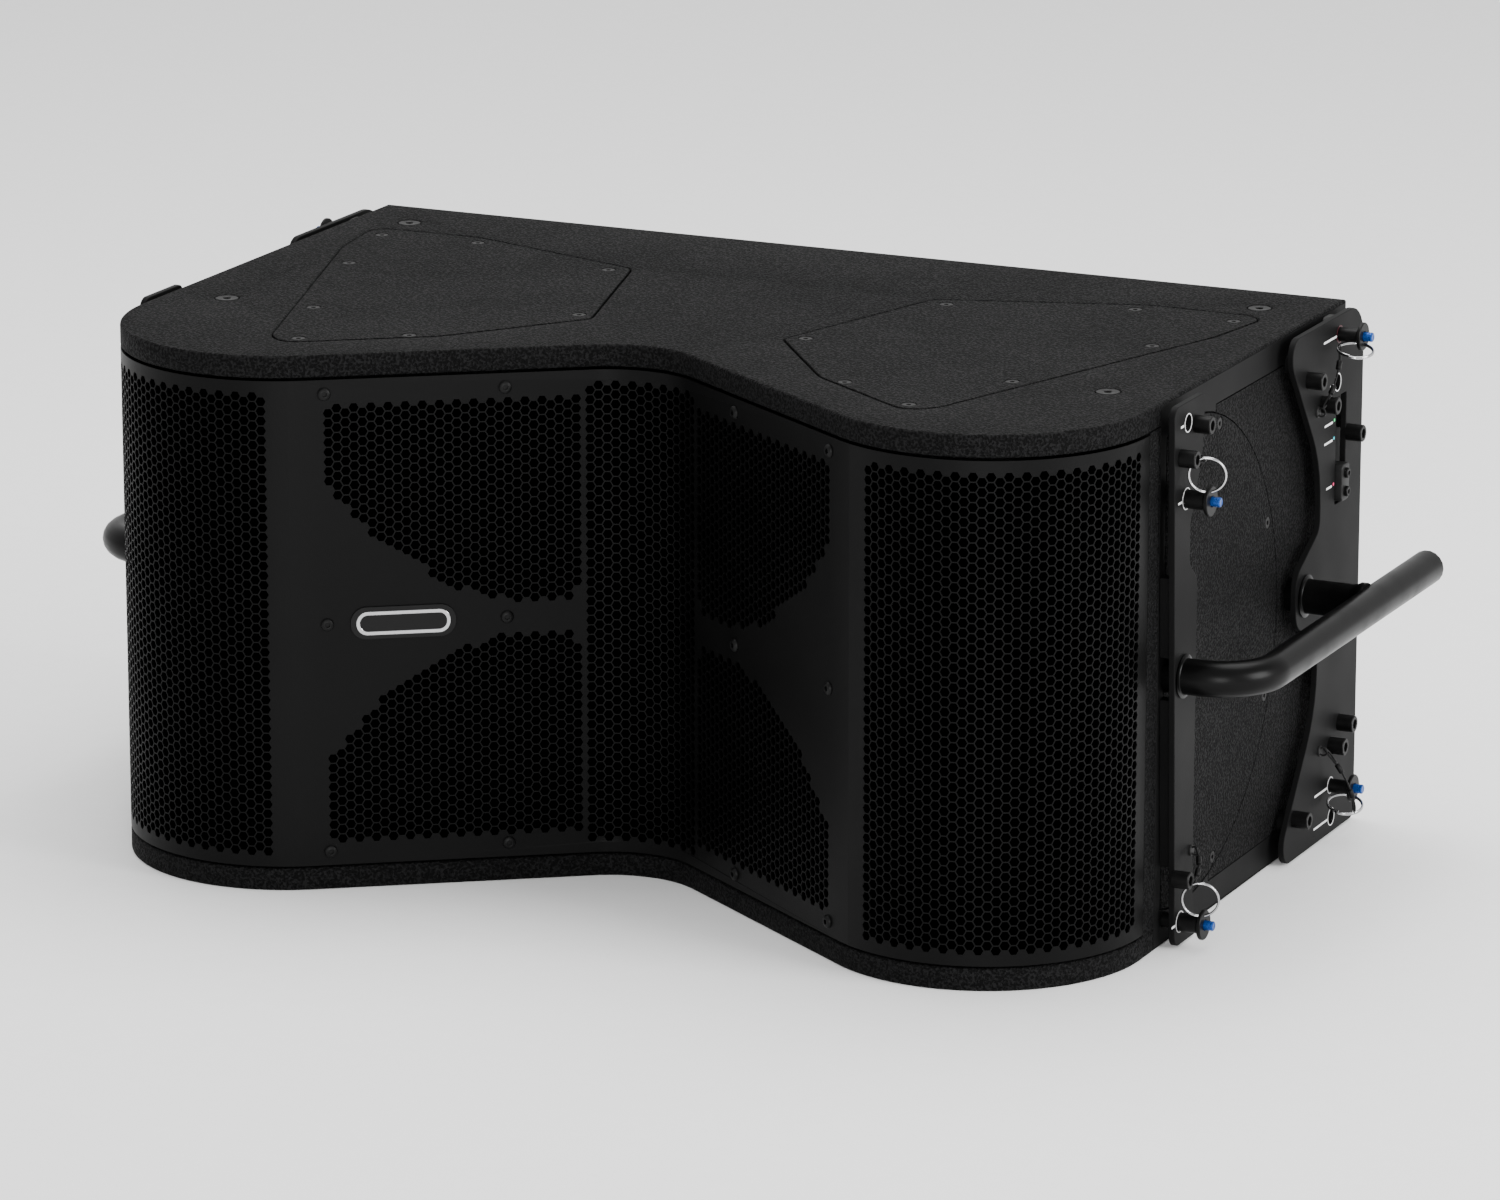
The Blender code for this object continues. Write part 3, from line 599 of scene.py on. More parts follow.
def on_front(s, z, depth):
    """The place on the W-shaped front at a distance s along it, depth metres behind its face."""
    along = abs(s)
    if along < VEE_END:
        turn = along / VEE_RADIUS
        centre, spoke = Vector((0, VEE_CENTRE_Y)), VEE_RADIUS + depth
        x, y = centre + Vector((math.sin(turn), math.cos(turn))) * spoke
    elif along < FLANK_END:
        inward = Vector((math.sin(FLANK), math.cos(FLANK)))
        run = Vector((math.cos(FLANK), -math.sin(FLANK))) * (along - VEE_END)
        x, y = VEE_CORNER + run + inward * depth
    elif along < LOBE_END:
        turn = FLANK - (along - FLANK_END) / LOBE_RADIUS
        centre, spoke = Vector((LOBE_X, LOBE_Y)), LOBE_RADIUS - depth
        x, y = centre - Vector((math.sin(turn), math.cos(turn))) * spoke
    else:
        x, y = HALF - depth, LOBE_Y + along - LOBE_END
    return Vector((math.copysign(x, s), y, z))


def moved(geometry):
    """The vertices of an operator's result."""
    return [v for v in geometry if isinstance(v, bmesh.types.BMVert)]


def plate_bm(outline, low, high, holes=(), axis="z", rim=0.0005, segments=2):
    """A flat plate with holes and rounded rims: (x, y) points along z, or (y, z) ones along x."""
    bm = bmesh.new()
    edges = []
    for loop in (outline, *holes):
        ring = [bm.verts.new((a, b, low)) for a, b in loop]
        edges += [bm.edges.new(pair) for pair in zip(ring, ring[1:] + ring[:1])]
    bmesh.ops.triangle_fill(bm, use_beauty=True, use_dissolve=False, edges=edges)
    grown = bmesh.ops.extrude_face_region(bm, geom=bm.faces[:])["geom"]
    bmesh.ops.translate(bm, verts=moved(grown), vec=(0, 0, high - low))
    bmesh.ops.recalc_face_normals(bm, faces=bm.faces)
    if rim:
        flat = [e for e in bm.edges if abs(e.verts[0].co.z - e.verts[1].co.z) < 1e-6]
        rims = [e for e in flat if e.calc_face_angle() > 1.2]
        shape = {"segments": segments, "profile": 0.5, "affect": "EDGES", "material": -1}
        bmesh.ops.bevel(bm, geom=rims, offset=rim, **shape)
    if axis == "x":
        turn = Matrix(((0, 0, 1, 0), (1, 0, 0, 0), (0, 1, 0, 0), (0, 0, 0, 1)))
        bmesh.ops.transform(bm, matrix=turn, verts=bm.verts)
    return bm


def box_bm(low, high, rim=0.0):
    (ax, ay, az), (bx, by, bz) = low, high
    return plate_bm([(ax, ay), (bx, ay), (bx, by), (ax, by)], az, bz, rim=rim)


def turned_bm(profile, axis, centre, sides=32, hexed=0.0):
    """A turned solid from (along, radius) points; a bore of radius hexed is made six-sided."""
    bm = bmesh.new()
    ring = [bm.verts.new((r, 0, s)) for s, r in profile]
    edges = [bm.edges.new(pair) for pair in zip(ring, ring[1:])]
    if profile[0][1] > 0 and profile[-1][1] > 0:
        edges.append(bm.edges.new((ring[-1], ring[0])))
    full = {"cent": (0, 0, 0), "axis": (0, 0, 1), "angle": math.tau, "use_merge": True}
    bmesh.ops.spin(bm, geom=ring + edges, steps=sides, **full)
    bmesh.ops.remove_doubles(bm, verts=bm.verts, dist=1e-6)
    if hexed:
        for v in bm.verts:
            if abs(v.co.xy.length - hexed) < 1e-5:
                turn = math.atan2(v.co.y, v.co.x) % (math.pi / 3) - math.pi / 6
                v.co.xy *= math.cos(math.pi / 6) / math.cos(turn)
    aim = Vector((0, 0, 1)).rotation_difference(Vector(axis)).to_matrix().to_4x4()
    bmesh.ops.transform(bm, matrix=Matrix.Translation(centre) @ aim, verts=bm.verts)
    bmesh.ops.recalc_face_normals(bm, faces=bm.faces)
    return bm


def tube_bm(path, radius, sides=24):
    """A round tube along a path of points, closed at both ends."""
    line = bpy.data.curves.new("tube_path", "CURVE")
    line.dimensions = "3D"
    spline = line.splines.new("POLY")
    spline.points.add(len(path) - 1)
    for point, place in zip(spline.points, path):
        point.co = (*place, 1)
    line.bevel_depth = radius
    line.bevel_resolution = sides // 4 - 1
    line.use_fill_caps = True
    guide = in_scene("tube_path", line)
    swept = bpy.data.meshes.new_from_object(guide)
    bpy.data.objects.remove(guide)
    bm = bmesh.new()
    bm.from_mesh(swept)
    bpy.data.meshes.remove(swept)
    bmesh.ops.remove_doubles(bm, verts=bm.verts, dist=1e-6)
    bmesh.ops.recalc_face_normals(bm, faces=bm.faces)
    return bm


def in_scene(name, data):
    """A new object in the scene."""
    made = bpy.data.objects.new(name, data)
    bpy.context.collection.objects.link(made)
    return made


def as_mesh(bm, name):
    mesh = bpy.data.meshes.new(name)
    bm.to_mesh(mesh)
    bm.free()
    return mesh


def together(parts):
    """One bmesh of several separate closed shapes."""
    whole = bmesh.new()
    for part in parts:
        mesh = as_mesh(part, "part")
        whole.from_mesh(mesh)
        bpy.data.meshes.remove(mesh)
    return whole


def combined(body, tool, operation):
    """The first solid with the second cut from it (DIFFERENCE) or grown onto it (UNION)."""
    objects = [in_scene("solid", as_mesh(bm, "solid")) for bm in (body, tool)]
    step = objects[0].modifiers.new("step", "BOOLEAN")
    step.operation = operation
    step.solver = "EXACT"
    step.object = objects[1]
    bpy.context.view_layer.update()
    graph = bpy.context.evaluated_depsgraph_get()
    done = bpy.data.meshes.new_from_object(objects[0].evaluated_get(graph))
    for made in objects:
        bpy.data.objects.remove(made)
    bm = bmesh.new()
    bm.from_mesh(done)
    bpy.data.meshes.remove(done)
    return bm


def hand_over(name, bm, finish, body="root", stands_for=(), sharp=20):
    """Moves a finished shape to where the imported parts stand, and makes it a piece."""
    bmesh.ops.translate(bm, verts=bm.verts, vec=ORIGIN)
    mesh = as_mesh(bm, name)
    mesh.materials.clear()
    mesh.materials.append(FINISHES[finish])
    mesh.shade_smooth()
    mesh.set_sharp_from_angle(angle=math.radians(sharp))
    made = in_scene(name, mesh)
    if stands_for:
        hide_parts(*stands_for)
    if body:
        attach(made, body)
    SLOTS.get(finish, finish)
    return made


def sided(side, points):
    """Mirrors (x, y) points to the left side."""
    return [(side * x, y) for x, y in points]


def span(side, near, far):
    """Low and high x of a layer between two distances from the middle."""
    return (near, far) if side > 0 else (-far, -near)


def rod(side, near, far, y, z, radius, chamfer=0.0, sides=28):
    """A round bar across a side, from one distance to another."""
    rim = [(far - chamfer, radius), (far, radius - chamfer)] if chamfer else [(far, radius)]
    profile = [(near, 0), (near, radius), *rim, (far, 0)]
    return turned_bm(profile, (side, 0, 0), (0, y, z), sides)


def countersunk(radius, place, axis):
    """A flush screw head with a hexagonal recess."""
    deep, socket = radius * 0.42, radius * 0.36
    profile = [
        (-deep, 0),
        (-deep, socket),
        (-0.0004, socket),
        (-0.0001, socket + 0.0004),
        (0, radius - 0.0005),
        (-0.0003, radius - 0.0001),
        (-radius * 0.55, radius * 0.5),
        (-radius * 1.1, radius * 0.5),
        (-radius * 1.1, 0),
    ]
    return turned_bm(profile, axis, place, 36, hexed=socket)


def button_head(radius, place, axis):
    """A domed screw head with a hexagonal recess."""
    high, socket = radius * 0.50, radius * 0.42
    profile = [
        (high * 0.35, 0),
        (high * 0.35, socket),
        (high * 0.96, socket),
        (high, socket + 0.0003),
        (high * 0.93, radius * 0.66),
        (high * 0.72, radius * 0.85),
        (high * 0.34, radius * 0.98),
        (0, radius),
        (-0.0010, radius),
        (-0.0010, 0),
    ]
    return turned_bm(profile, axis, place, 36, hexed=socket)


def cap_head(radius, high, place, axis):
    """A cylindrical screw head with a hexagonal recess."""
    socket = radius * 0.5
    profile = [
        (high * 0.4, 0),
        (high * 0.4, socket),
        (high - 0.0002, socket),
        (high, socket + 0.0003),
        (high, radius - 0.0007),
        (high - 0.0007, radius),
        (0, radius),
        (0, 0),
    ]
    return turned_bm(profile, axis, place, 36, hexed=socket)


# Cabinet


def hatch_points(grow=0.0, scale=1.0):
    """The hatch outline, grown outwards by a gap or scaled about its middle."""
    points = [Vector(p) for p in rounded(HATCH_OUTLINE, 6.0)]
    middle = sum(points, Vector((0, 0))) / len(points)
    placed = [middle + (p - middle) * scale for p in points]
    return [tuple(p + (p - middle).normalized() * grow) for p in placed]


def cabinet_panel(name, node, sign, holes):
    """The lid (sign 1) or the floor (sign -1), rebated at the sides for the steel frames."""
    outline = front_curve(0) + [(-HALF, BACK), (HALF, BACK)]
    low, high = sorted((sign * INNER, sign * TOP))
    panel = plate_bm(outline, low, high, holes, rim=EDGE_ROUND, segments=3)
    lip = TOP - FRAME_REBATE + FIT
    for side, _ in SIDES:
        near, far = span(side, HALF - SKIN - FIT, HALF + 0.01)
        z_low, z_high = sorted((sign * (INNER - 0.01), sign * lip))
        rebate = box_bm((near, FRAME_FRONT - SEAM, z_low), (far, BACK + 0.01, z_high))
        panel = combined(panel, rebate, "DIFFERENCE")
    hand_over(name, panel, "textured_paint", stands_for=[node])


def cabinet():
    """Lid and floor with their corner bolts, and the two hatches in the lid."""
    bolts = [(side * x, y) for side, _ in SIDES for x, y in LID_BOLTS]
    bolt_holes = [round_hole(x, y, LID_BOLT_RADIUS + 0.0004, 36) for x, y in bolts]
    pockets = [sided(side, hatch_points(grow=HATCH_GAP)) for side, _ in SIDES]
    cabinet_panel("painted_lid", "top_panel", 1, [*bolt_holes, *pockets])
    cabinet_panel("painted_floor", "bottom_panel", -1, bolt_holes)
    for sign, word in ((1, "lid"), (-1, "floor")):
        level = sign * (TOP - SCREW_SUNK)
        heads = [countersunk(LID_BOLT_RADIUS, (x, y, level), (0, 0, sign)) for x, y in bolts]
        hand_over(f"{word}_bolts", together(heads), "black_fastener")
    for side, word in SIDES:
        outline = sided(side, hatch_points())
        screws = [(side * x, y) for x, y in HATCH_SCREWS]
        holes = [round_hole(x, y, HATCH_SCREW_RADIUS + 0.0003) for x, y in screws]
        hatch = plate_bm(outline, TOP - HATCH_THICK, TOP, holes, rim=0.0007)
        hand_over(f"{word}_hatch", hatch, "textured_paint", stands_for=[f"{word}_top_hatch"])
        rebate = sided(side, hatch_points(grow=HATCH_GAP - FIT / 3))
        well = sided(side, hatch_points(scale=0.84))
        ledge = plate_bm(rebate, INNER, TOP - HATCH_THICK - FIT, [well], rim=0)
        hand_over(f"{word}_hatch_ledge", ledge, "textured_paint")
        level = TOP - SCREW_SUNK
        heads = [countersunk(HATCH_SCREW_RADIUS, (x, y, level), (0, 0, 1)) for x, y in screws]
        hand_over(f"{word}_hatch_screws", together(heads), "black_fastener")


# Grille


def mid_edge(s):
    """How far from mid-height a midrange field begins, at a distance s along the front."""
    for (s0, z0), (s1, z1) in zip(MID_EDGE, MID_EDGE[1:]):
        if s <= s1:
            return z0 + (z1 - z0) * (s - s0) / (s1 - s0)
    return MID_EDGE[-1][1]


def lobe_holes(side):
    """Hole centres of a woofer's field: every other column is half a hole higher."""
    for i in range(LOBE_COLUMNS):
        shift = 0.25 if i % 2 else -0.25
        for j in range(LOBE_ROWS):
            z = (j - (LOBE_ROWS - 1) / 2 + shift) * PITCH
            yield side * (LOBE_FIELD + i * COLUMN), z


def middle_holes():
    """Hole centres of the horn's field and of the four midrange fields."""
    for i in range(HORN_COLUMNS):
        shift = 0.25 if i % 2 else -0.25
        for j in range(HORN_ROWS):
            z = (j - (HORN_ROWS - 1) / 2 + shift) * PITCH
            yield (i - (HORN_COLUMNS - 1) / 2) * COLUMN, z
    for i in range(MID_COLUMNS):
        s = MID_FIELD + i * COLUMN
        z = MID_LIMIT - PITCH * (1.0 if i % 2 else 0.5)
        while z > -MID_LIMIT:
            if abs(z) > mid_edge(s):
                yield from ((s, z), (-s, z))
            z -= PITCH


def punched_sheet(low, high, holes):
    """A piece of the grille between two distances along the front, punched and then bent."""
    bm = bmesh.new()
    radius = PITCH / math.sqrt(3)
    turned = Matrix.Rotation(math.pi / 2, 4, "Z")
    for s, z in holes:
        place = Matrix.Translation((s, z, 0)) @ turned
        bmesh.ops.create_circle(bm, cap_ends=True, radius=radius, segments=6, matrix=place)
    bmesh.ops.remove_doubles(bm, verts=bm.verts, dist=1e-5)
    cells = bm.faces[:]
    web = PITCH * (1 - HOLE_SHARE) / 2
    bmesh.ops.inset_individual(bm, faces=cells, thickness=web, use_even_offset=True)
    bmesh.ops.delete(bm, geom=cells, context="FACES_ONLY")
    punched = set(bm.faces)
    longest_hole_edge = radius * (1 + HOLE_SHARE) / 2
    border = [e for e in bm.edges if e.is_boundary and e.calc_length() > longest_hole_edge]
    corners = [(low, -1), (high, -1), (high, 1), (low, 1)]
    ring = [bm.verts.new((s, end * SHEET_HALF_HEIGHT, 0)) for s, end in corners]
    edges = [bm.edges.new(pair) for pair in zip(ring, ring[1:] + ring[:1])]
    bmesh.ops.triangle_fill(bm, use_beauty=True, use_dissolve=False, edges=border + edges)
    for i in range(1, int((high - low) / BEND_STEP)):
        s = low + i * BEND_STEP
        if VEE_END < abs(s) < FLANK_END:
            continue
        plain = [f for f in bm.faces if f not in punched]
        parts = {part for f in plain for part in (f, *f.edges, *f.verts)}
        across = {"plane_co": (s, 0, 0), "plane_no": (1, 0, 0)}
        bmesh.ops.bisect_plane(bm, geom=list(parts), dist=1e-5, **across)
    grown = bmesh.ops.extrude_face_region(bm, geom=bm.faces[:])["geom"]
    bmesh.ops.translate(bm, verts=moved(grown), vec=(0, 0, SHEET_THICK))
    for v in bm.verts:
        v.co = on_front(*v.co)
    bmesh.ops.recalc_face_normals(bm, faces=bm.faces)
    return bm


def grille():
    """The punched steel front in three lengths, with its screws and the black cloth behind it,
    whose near-black colour is painted shade.
    """
    hand_over(
        "grille_middle",
        punched_sheet(-SHEET_SPLIT, SHEET_SPLIT, middle_holes()),
        "grille_steel",
        stands_for=["front_grille"],
    )
    for side, word in SIDES:
        low, high = span(side, SHEET_SPLIT, SHEET_END)
        sheet = punched_sheet(low, high, lobe_holes(side))
        hand_over(f"{word}_grille_lobe", sheet, "grille_steel", stands_for=["front_grille"])
    outward = Vector((-math.sin(FLANK), -math.cos(FLANK), 0))
    heads = []
    for side, _ in SIDES:
        axis = (side * outward.x, outward.y, 0)
        for x, y in GRILLE_SCREWS:
            spots = [(side * x, y, z) for z in GRILLE_SCREW_Z]
            heads += [button_head(GRILLE_SCREW_RADIUS, spot, axis) for spot in spots]
    hand_over("grille_screws", together(heads), "black_fastener")

    # Black cloth just behind the sheet; its near-black finish is painted shade seen through the
    # holes.
    reach, half = LOBE_END - 0.004, SHEET_HALF_HEIGHT - 0.004
    bm = bmesh.new()
    scale = Matrix.Diagonal((reach, half, 1, 1))
    bmesh.ops.create_grid(bm, x_segments=120, y_segments=4, size=1, matrix=scale)
    grown = bmesh.ops.extrude_face_region(bm, geom=bm.faces[:])["geom"]
    bmesh.ops.translate(bm, verts=moved(grown), vec=(0, 0, CLOTH_THICK))
    for v in bm.verts:
        v.co = on_front(v.co.x, v.co.y, v.co.z + CLOTH_DEPTH)
    bmesh.ops.recalc_face_normals(bm, faces=bm.faces)
    cloth = hand_over("grille_cloth_painted_shade", bm, "acoustic_cloth")
    2 * reach
    2 * half


# Sides


def window_back(margin):
    """The rounded back corners of the side window, from top to bottom."""
    height = WINDOW_HALF_HEIGHT - margin
    back = WINDOW_BACK - margin
    radius = WINDOW_ROUND - margin
    upper = arc(back - radius, height - radius, radius, 90, 0, 12)
    return upper + [(y, -z) for y, z in reversed(upper)]


def side_skins(side, word):
    """The steel frame, and the round textured cover in its window."""
    near, far = span(side, HALF - SKIN, HALF)
    edge = TOP - FRAME_REBATE
    outer = COVER_RADIUS + SEAM
    limit = math.degrees(math.acos((WINDOW_FRONT - COVER_CENTRE_Y) / outer))
    start = math.degrees(math.acos((COVER_FRONT - SEAM - COVER_CENTRE_Y) / outer))
    bow = arc(COVER_CENTRE_Y, 0, outer, limit, start, 36)
    height = WINDOW_HALF_HEIGHT
    window = [(WINDOW_FRONT, -height), *reversed(window_back(0)), (WINDOW_FRONT, height)]
    window += bow + [(y, -z) for y, z in reversed(bow)]
    outline = [(FRAME_FRONT, -edge), (BACK, -edge), (BACK, edge), (FRAME_FRONT, edge)]
    holes = [window]
    for pin in ("front_lower", "rear_upper"):
        y, z, shank = PINS[pin][:3]
        holes.append(round_hole(y, z, shank + HOLE_CLEARANCE))
    skin = plate_bm(outline, near, far, holes, axis="x", rim=0.0004)
    hand_over(f"{word}_frame_skin", skin, "dark_steel", stands_for=[f"{word}_side_frame"])

    stop = math.degrees(math.acos((COVER_FRONT - COVER_CENTRE_Y) / COVER_RADIUS))
    disc = arc(COVER_CENTRE_Y, 0, COVER_RADIUS, -stop, stop, 120)
    y, z, shank = PINS["front_upper"][:3]
    holes = [round_hole(y, z, shank + HOLE_CLEARANCE)]
    holes += [round_hole(a, b, COVER_SCREW_RADIUS + 0.0003) for a, b in COVER_SCREWS]
    cover = plate_bm(disc, near, far, holes, axis="x", rim=0.0005)
    hand_over(f"{word}_round_cover", cover, "textured_paint", stands_for=[f"{word}_access_cover"])
    face = side * (HALF - 0.0001)
    heads = [countersunk(COVER_SCREW_RADIUS, (face, a, b), (side, 0, 0)) for a, b in COVER_SCREWS]
    hand_over(f"{word}_cover_screws", together(heads), "black_fastener")


def rigging_plate(side, word, place, outline, rounds, slots, posts):
    """A rigging plate on its spacers, with rounded rims."""
    near, far = span(side, PLATE_FACE - PLATE_THICK, PLATE_FACE)
    holes = [round_hole(*hole) for hole in rounds] + slots
    made = [plate_bm(outline, near, far, holes, axis="x", rim=0.0006)]
    back = PLATE_FACE - PLATE_THICK
    for y, z in posts:
        made.append(rod(side, HALF + FIT, back, y, z, SPACER_RADIUS))
    name, node = f"{word}_{place}_rigging", f"{word}_{place}_plate"
    hand_over(name, together(made), "dark_steel", stands_for=[node])


def rigging_plates(side, word):
    leg = TUBE_RADIUS + FIT * 2
    pins = {key: (pin[0], pin[1], pin[2] + HOLE_CLEARANCE) for key, pin in PINS.items()}
    rounds = [pins["front_upper"], pins["front_lower"], (FRONT_LEG_Y, 0.0, leg)]
    rounds += [(y, z, SPARE_HOLE_RADIUS) for y, z in FRONT_SPARE]
    rigging_plate(side, word, "front", rounded(FRONT_PLATE), rounds, [], FRONT_POSTS)
    upper = REAR_PLATE_FRONT_EDGE
    back_edge = (
        (REAR_PLATE_BACK, -PLATE_HALF_HEIGHT, 0.008),
        (REAR_PLATE_BACK, PLATE_HALF_HEIGHT, REAR_PLATE_TOP_ROUND),
    )
    corners = [*upper, *((y, -z, r) for y, z, r in reversed(upper)), *back_edge]
    rounds = [pins["rear_upper"], pins["rear_lower"], (REAR_LEG_Y, 0.0, leg)]
    rounds += [(y, z, SPARE_HOLE_RADIUS) for y, z in REAR_SPARE]
    slots = [slot_outline(*SLOT, 0.002)]
    rigging_plate(side, word, "rear", rounded(corners), rounds, slots, REAR_POSTS)
    spots = [*FRONT_BOSSES, *REAR_BOSSES]
    bosses = [boss(side, y, z) for y, z in spots]
    hand_over(f"{word}_bosses", together(bosses), "pin_black")


def boss(side, y, z):
    """A hollow turned stud with a narrow bright land around its bore."""
    profile = [
        (PLATE_FACE, 0),
        (PLATE_FACE, BOSS_RADIUS),
        (BOSS_END - 0.0006, BOSS_RADIUS),
        (BOSS_END, BOSS_RADIUS - 0.0006),
        (BOSS_END, BOSS_BORE + 0.0003),
        (BOSS_END - 0.0003, BOSS_BORE),
        (PLATE_FACE + 0.002, BOSS_BORE),
        (PLATE_FACE + 0.002, 0),
    ]
    return turned_bm(profile, (side, 0, 0), (0, y, z), 32)


def handle(side, word):
    """A tube from the front plate, bent into the grip, with a rear leg welded to it as a T."""
    inner = HALF + FIT
    bend = arc(GRIP_X - BEND_RADIUS, FRONT_LEG_Y + BEND_RADIUS, BEND_RADIUS, -90, 0, 16)
    path = [(inner, FRONT_LEG_Y), *bend, (GRIP_X, GRIP_END - 0.001)]
    grip = tube_bm([(side * x, y, 0) for x, y in path], TUBE_RADIUS, 32)
    leg = TUBE_RADIUS * 0.985
    weld = [(inner, 0), (inner, leg), (GRIP_X - 0.0170, leg), (GRIP_X - 0.0135, leg + 0.0004)]
    weld += [(GRIP_X - 0.0105, leg + 0.0022), (GRIP_X - 0.006, leg + 0.0022), (GRIP_X - 0.006, 0)]
    rear = turned_bm(weld, (side, 0, 0), (0, REAR_LEG_Y, 0), 32)
    tube = combined(grip, rear, "UNION")
    end = [(GRIP_END - 0.0012, 0), (GRIP_END - 0.0012, TUBE_RADIUS * 0.97)]
    end += [(GRIP_END - 0.0004, TUBE_RADIUS * 0.93), (GRIP_END, TUBE_RADIUS * 0.85), (GRIP_END, 0)]
    cap = turned_bm(end, (0, 1, 0), (side * GRIP_X, 0, 0), 32)
    grip = together([tube, cap])
    hand_over(f"{word}_grip", grip, "handle_black", stands_for=[f"{word}_handle"], sharp=40)
    ring = [(PLATE_FACE + out, TUBE_RADIUS + grown) for out, grown in WELD]
    legs = (FRONT_LEG_Y, REAR_LEG_Y)
    collars = [turned_bm(ring, (side, 0, 0), (0, y, 0), 32) for y in legs]
    hand_over(f"{word}_handle_welds", together(collars), "handle_black")


def link_bar(side, pin, travel, width, bottom, corner):
    """A link's flat bar from its bottom up, with the slot that its pin stands in."""
    y, z, shank = PINS[pin][:3]
    clear = shank + HOLE_CLEARANCE * 2
    half, low = width / 2, z - travel
    bar = slot_outline(y - half, y + half, bottom, z + LINK_END, half * corner)
    gap = slot_outline(y - clear, y + clear, low - clear, z + clear, clear * 0.95)
    return plate_bm(bar, *span(side, *LINK_X), [gap], axis="x", rim=0.0004)


def links(side, word):
    """The slotted links behind the plates, the rear one with its grip plate."""
    node = f"{word}_front_link"
    bottom = PINS["front_upper"][1] - FRONT_LINK_TRAVEL - LINK_END
    front = link_bar(side, "front_upper", FRONT_LINK_TRAVEL, FRONT_LINK_WIDTH, bottom, 0.8)
    hand_over(f"{word}_front_slide", front, "link_steel", body=node, stands_for=[node])

    node = f"{word}_rear_link"
    grip_y0, grip_y1, grip_z0, _ = LINK_GRIP
    bottom = grip_z0 - LINK_BELOW_GRIP
    rear = link_bar(side, "rear_upper", REAR_LINK_TRAVEL, REAR_LINK_WIDTH, bottom, 0.6)
    block_x = span(side, LINK_X[1], LINK_GRIP_FACE)
    block = plate_bm(slot_outline(*LINK_GRIP, 0.004), *block_x, axis="x", rim=0.0010, segments=3)
    rear = together([rear, block])
    hand_over(f"{word}_rear_slide", rear, "link_steel", body=node, stands_for=[node])
    middle = (grip_y0 + grip_y1) / 2
    face = side * LINK_GRIP_FACE
    radius, high = LINK_BOLT
    heads = [cap_head(radius, high, (face, middle, z), (side, 0, 0)) for z in LINK_BOLT_Z]
    hand_over(f"{word}_rear_slide_bolts", together(heads), "black_fastener", body=node)


def pin_and_button(side, word, pin):
    """A quick-release pin with its flange, and the sprung button in its bore."""
    y, z, shank, body, flange = PINS[pin]
    seat = PLATE_FACE + FIT
    flange_in, flange_out = PIN_FLANGE
    profile = [
        (PIN_TIP, 0),
        (PIN_TIP, shank * 0.70),
        (PIN_TIP + 0.0008, shank * 0.86),
        (PIN_TIP + 0.002, shank),
        (seat, shank),
        (seat, body - 0.0004),
        (seat + 0.0004, body),
        (flange_in - 0.0022, body),
        (flange_in - 0.0020, body - 0.0005),
        (flange_in - 0.0012, body - 0.0005),
        (flange_in - 0.0010, body),
        (flange_in, body + 0.0002),
        (flange_in, flange - 0.0006),
        (flange_in + 0.0006, flange),
        (flange_out - 0.0006, flange),
        (flange_out, flange - 0.0006),
        (flange_out, PIN_BORE + 0.0004),
        (flange_out - 0.0004, PIN_BORE),
        (PIN_BORE_END, PIN_BORE),
        (PIN_BORE_END, 0),
    ]
    axis = (side, 0, 0)
    node = f"{word}_{pin}_pin"
    turned = turned_bm(profile, axis, (0, y, z), 40)
    hand_over(f"{word}_{pin}_pin_body", turned, "pin_black", body=node, stands_for=[node], sharp=30)
    low, high = BUTTON_SPAN
    dome = [
        (low, 0),
        (low, BUTTON_RADIUS),
        (high - 0.0030, BUTTON_RADIUS),
        (high - 0.0028, BUTTON_RADIUS - 0.0003),
        (high - 0.0024, BUTTON_RADIUS - 0.0003),
        (high - 0.0022, BUTTON_RADIUS),
        (high - 0.0008, BUTTON_RADIUS),
        (high - 0.0003, BUTTON_RADIUS - 0.0003),
        (high, BUTTON_RADIUS - 0.0009),
        (high - 0.0002, BUTTON_RADIUS - 0.0018),
        (high - 0.0002, 0),
    ]
    node = f"{word}_{pin}_button"
    turned = turned_bm(dome, axis, (0, y, z), 32)
    hand_over(f"{word}_{pin}_button_cap", turned, "button_blue", body=node, stands_for=[node])


# Rings, lanyards and print


def smooth_path(points, steps=6):
    """A smooth line through the given points."""
    places = [Vector(p) for p in points]
    places = [2 * places[0] - places[1], *places, 2 * places[-1] - places[-2]]
    path = []
    for a, b, c, d in zip(places, places[1:], places[2:], places[3:]):
        for k in range(steps):
            t = k / steps
            bend = (2 * a - 5 * b + 4 * c - d) * t * t + (3 * b - a - 3 * c + d) * t**3
            path.append((2 * b + (c - a) * t + bend) / 2)
    return [*path, places[-2]]


def ring_frame(side, pin):
    """Centre of a pin's ring, and two directions across it: away from the flange, and along it."""
    y, z = PINS[pin][:2]
    centre, normal = RINGS[pin]
    flange = Vector(((PIN_FLANGE[0] + PIN_FLANGE[1]) / 2, y, z))
    middle = flange + Vector(centre)
    normal = Vector(normal).normalized()
    away = (Vector(centre) - normal * normal.dot(Vector(centre))).normalized()
    flip = Vector((side, 1, 1))
    return middle * flip, away * flip, normal.cross(away) * flip, normal * flip


def split_ring(side, word, pin):
    """A sprung wire ring of two turns, through the edge of the pin's flange."""
    middle, away, along, normal = ring_frame(side, pin)
    path = []
    for i in range(RING_STEPS + 1):
        turn = 2 * math.tau * i / RING_STEPS
        rise = (i / RING_STEPS - 0.5) * 2 * RING_WIRE
        spoke = away * math.cos(turn) + along * math.sin(turn)
        path.append(middle + spoke * RING_RADIUS + normal * rise)
    wire = tube_bm(path, RING_WIRE, 12)
    hand_over(f"{word}_{pin}_ring", wire, "bright_wire", body=f"{word}_{pin}_pin", sharp=60)


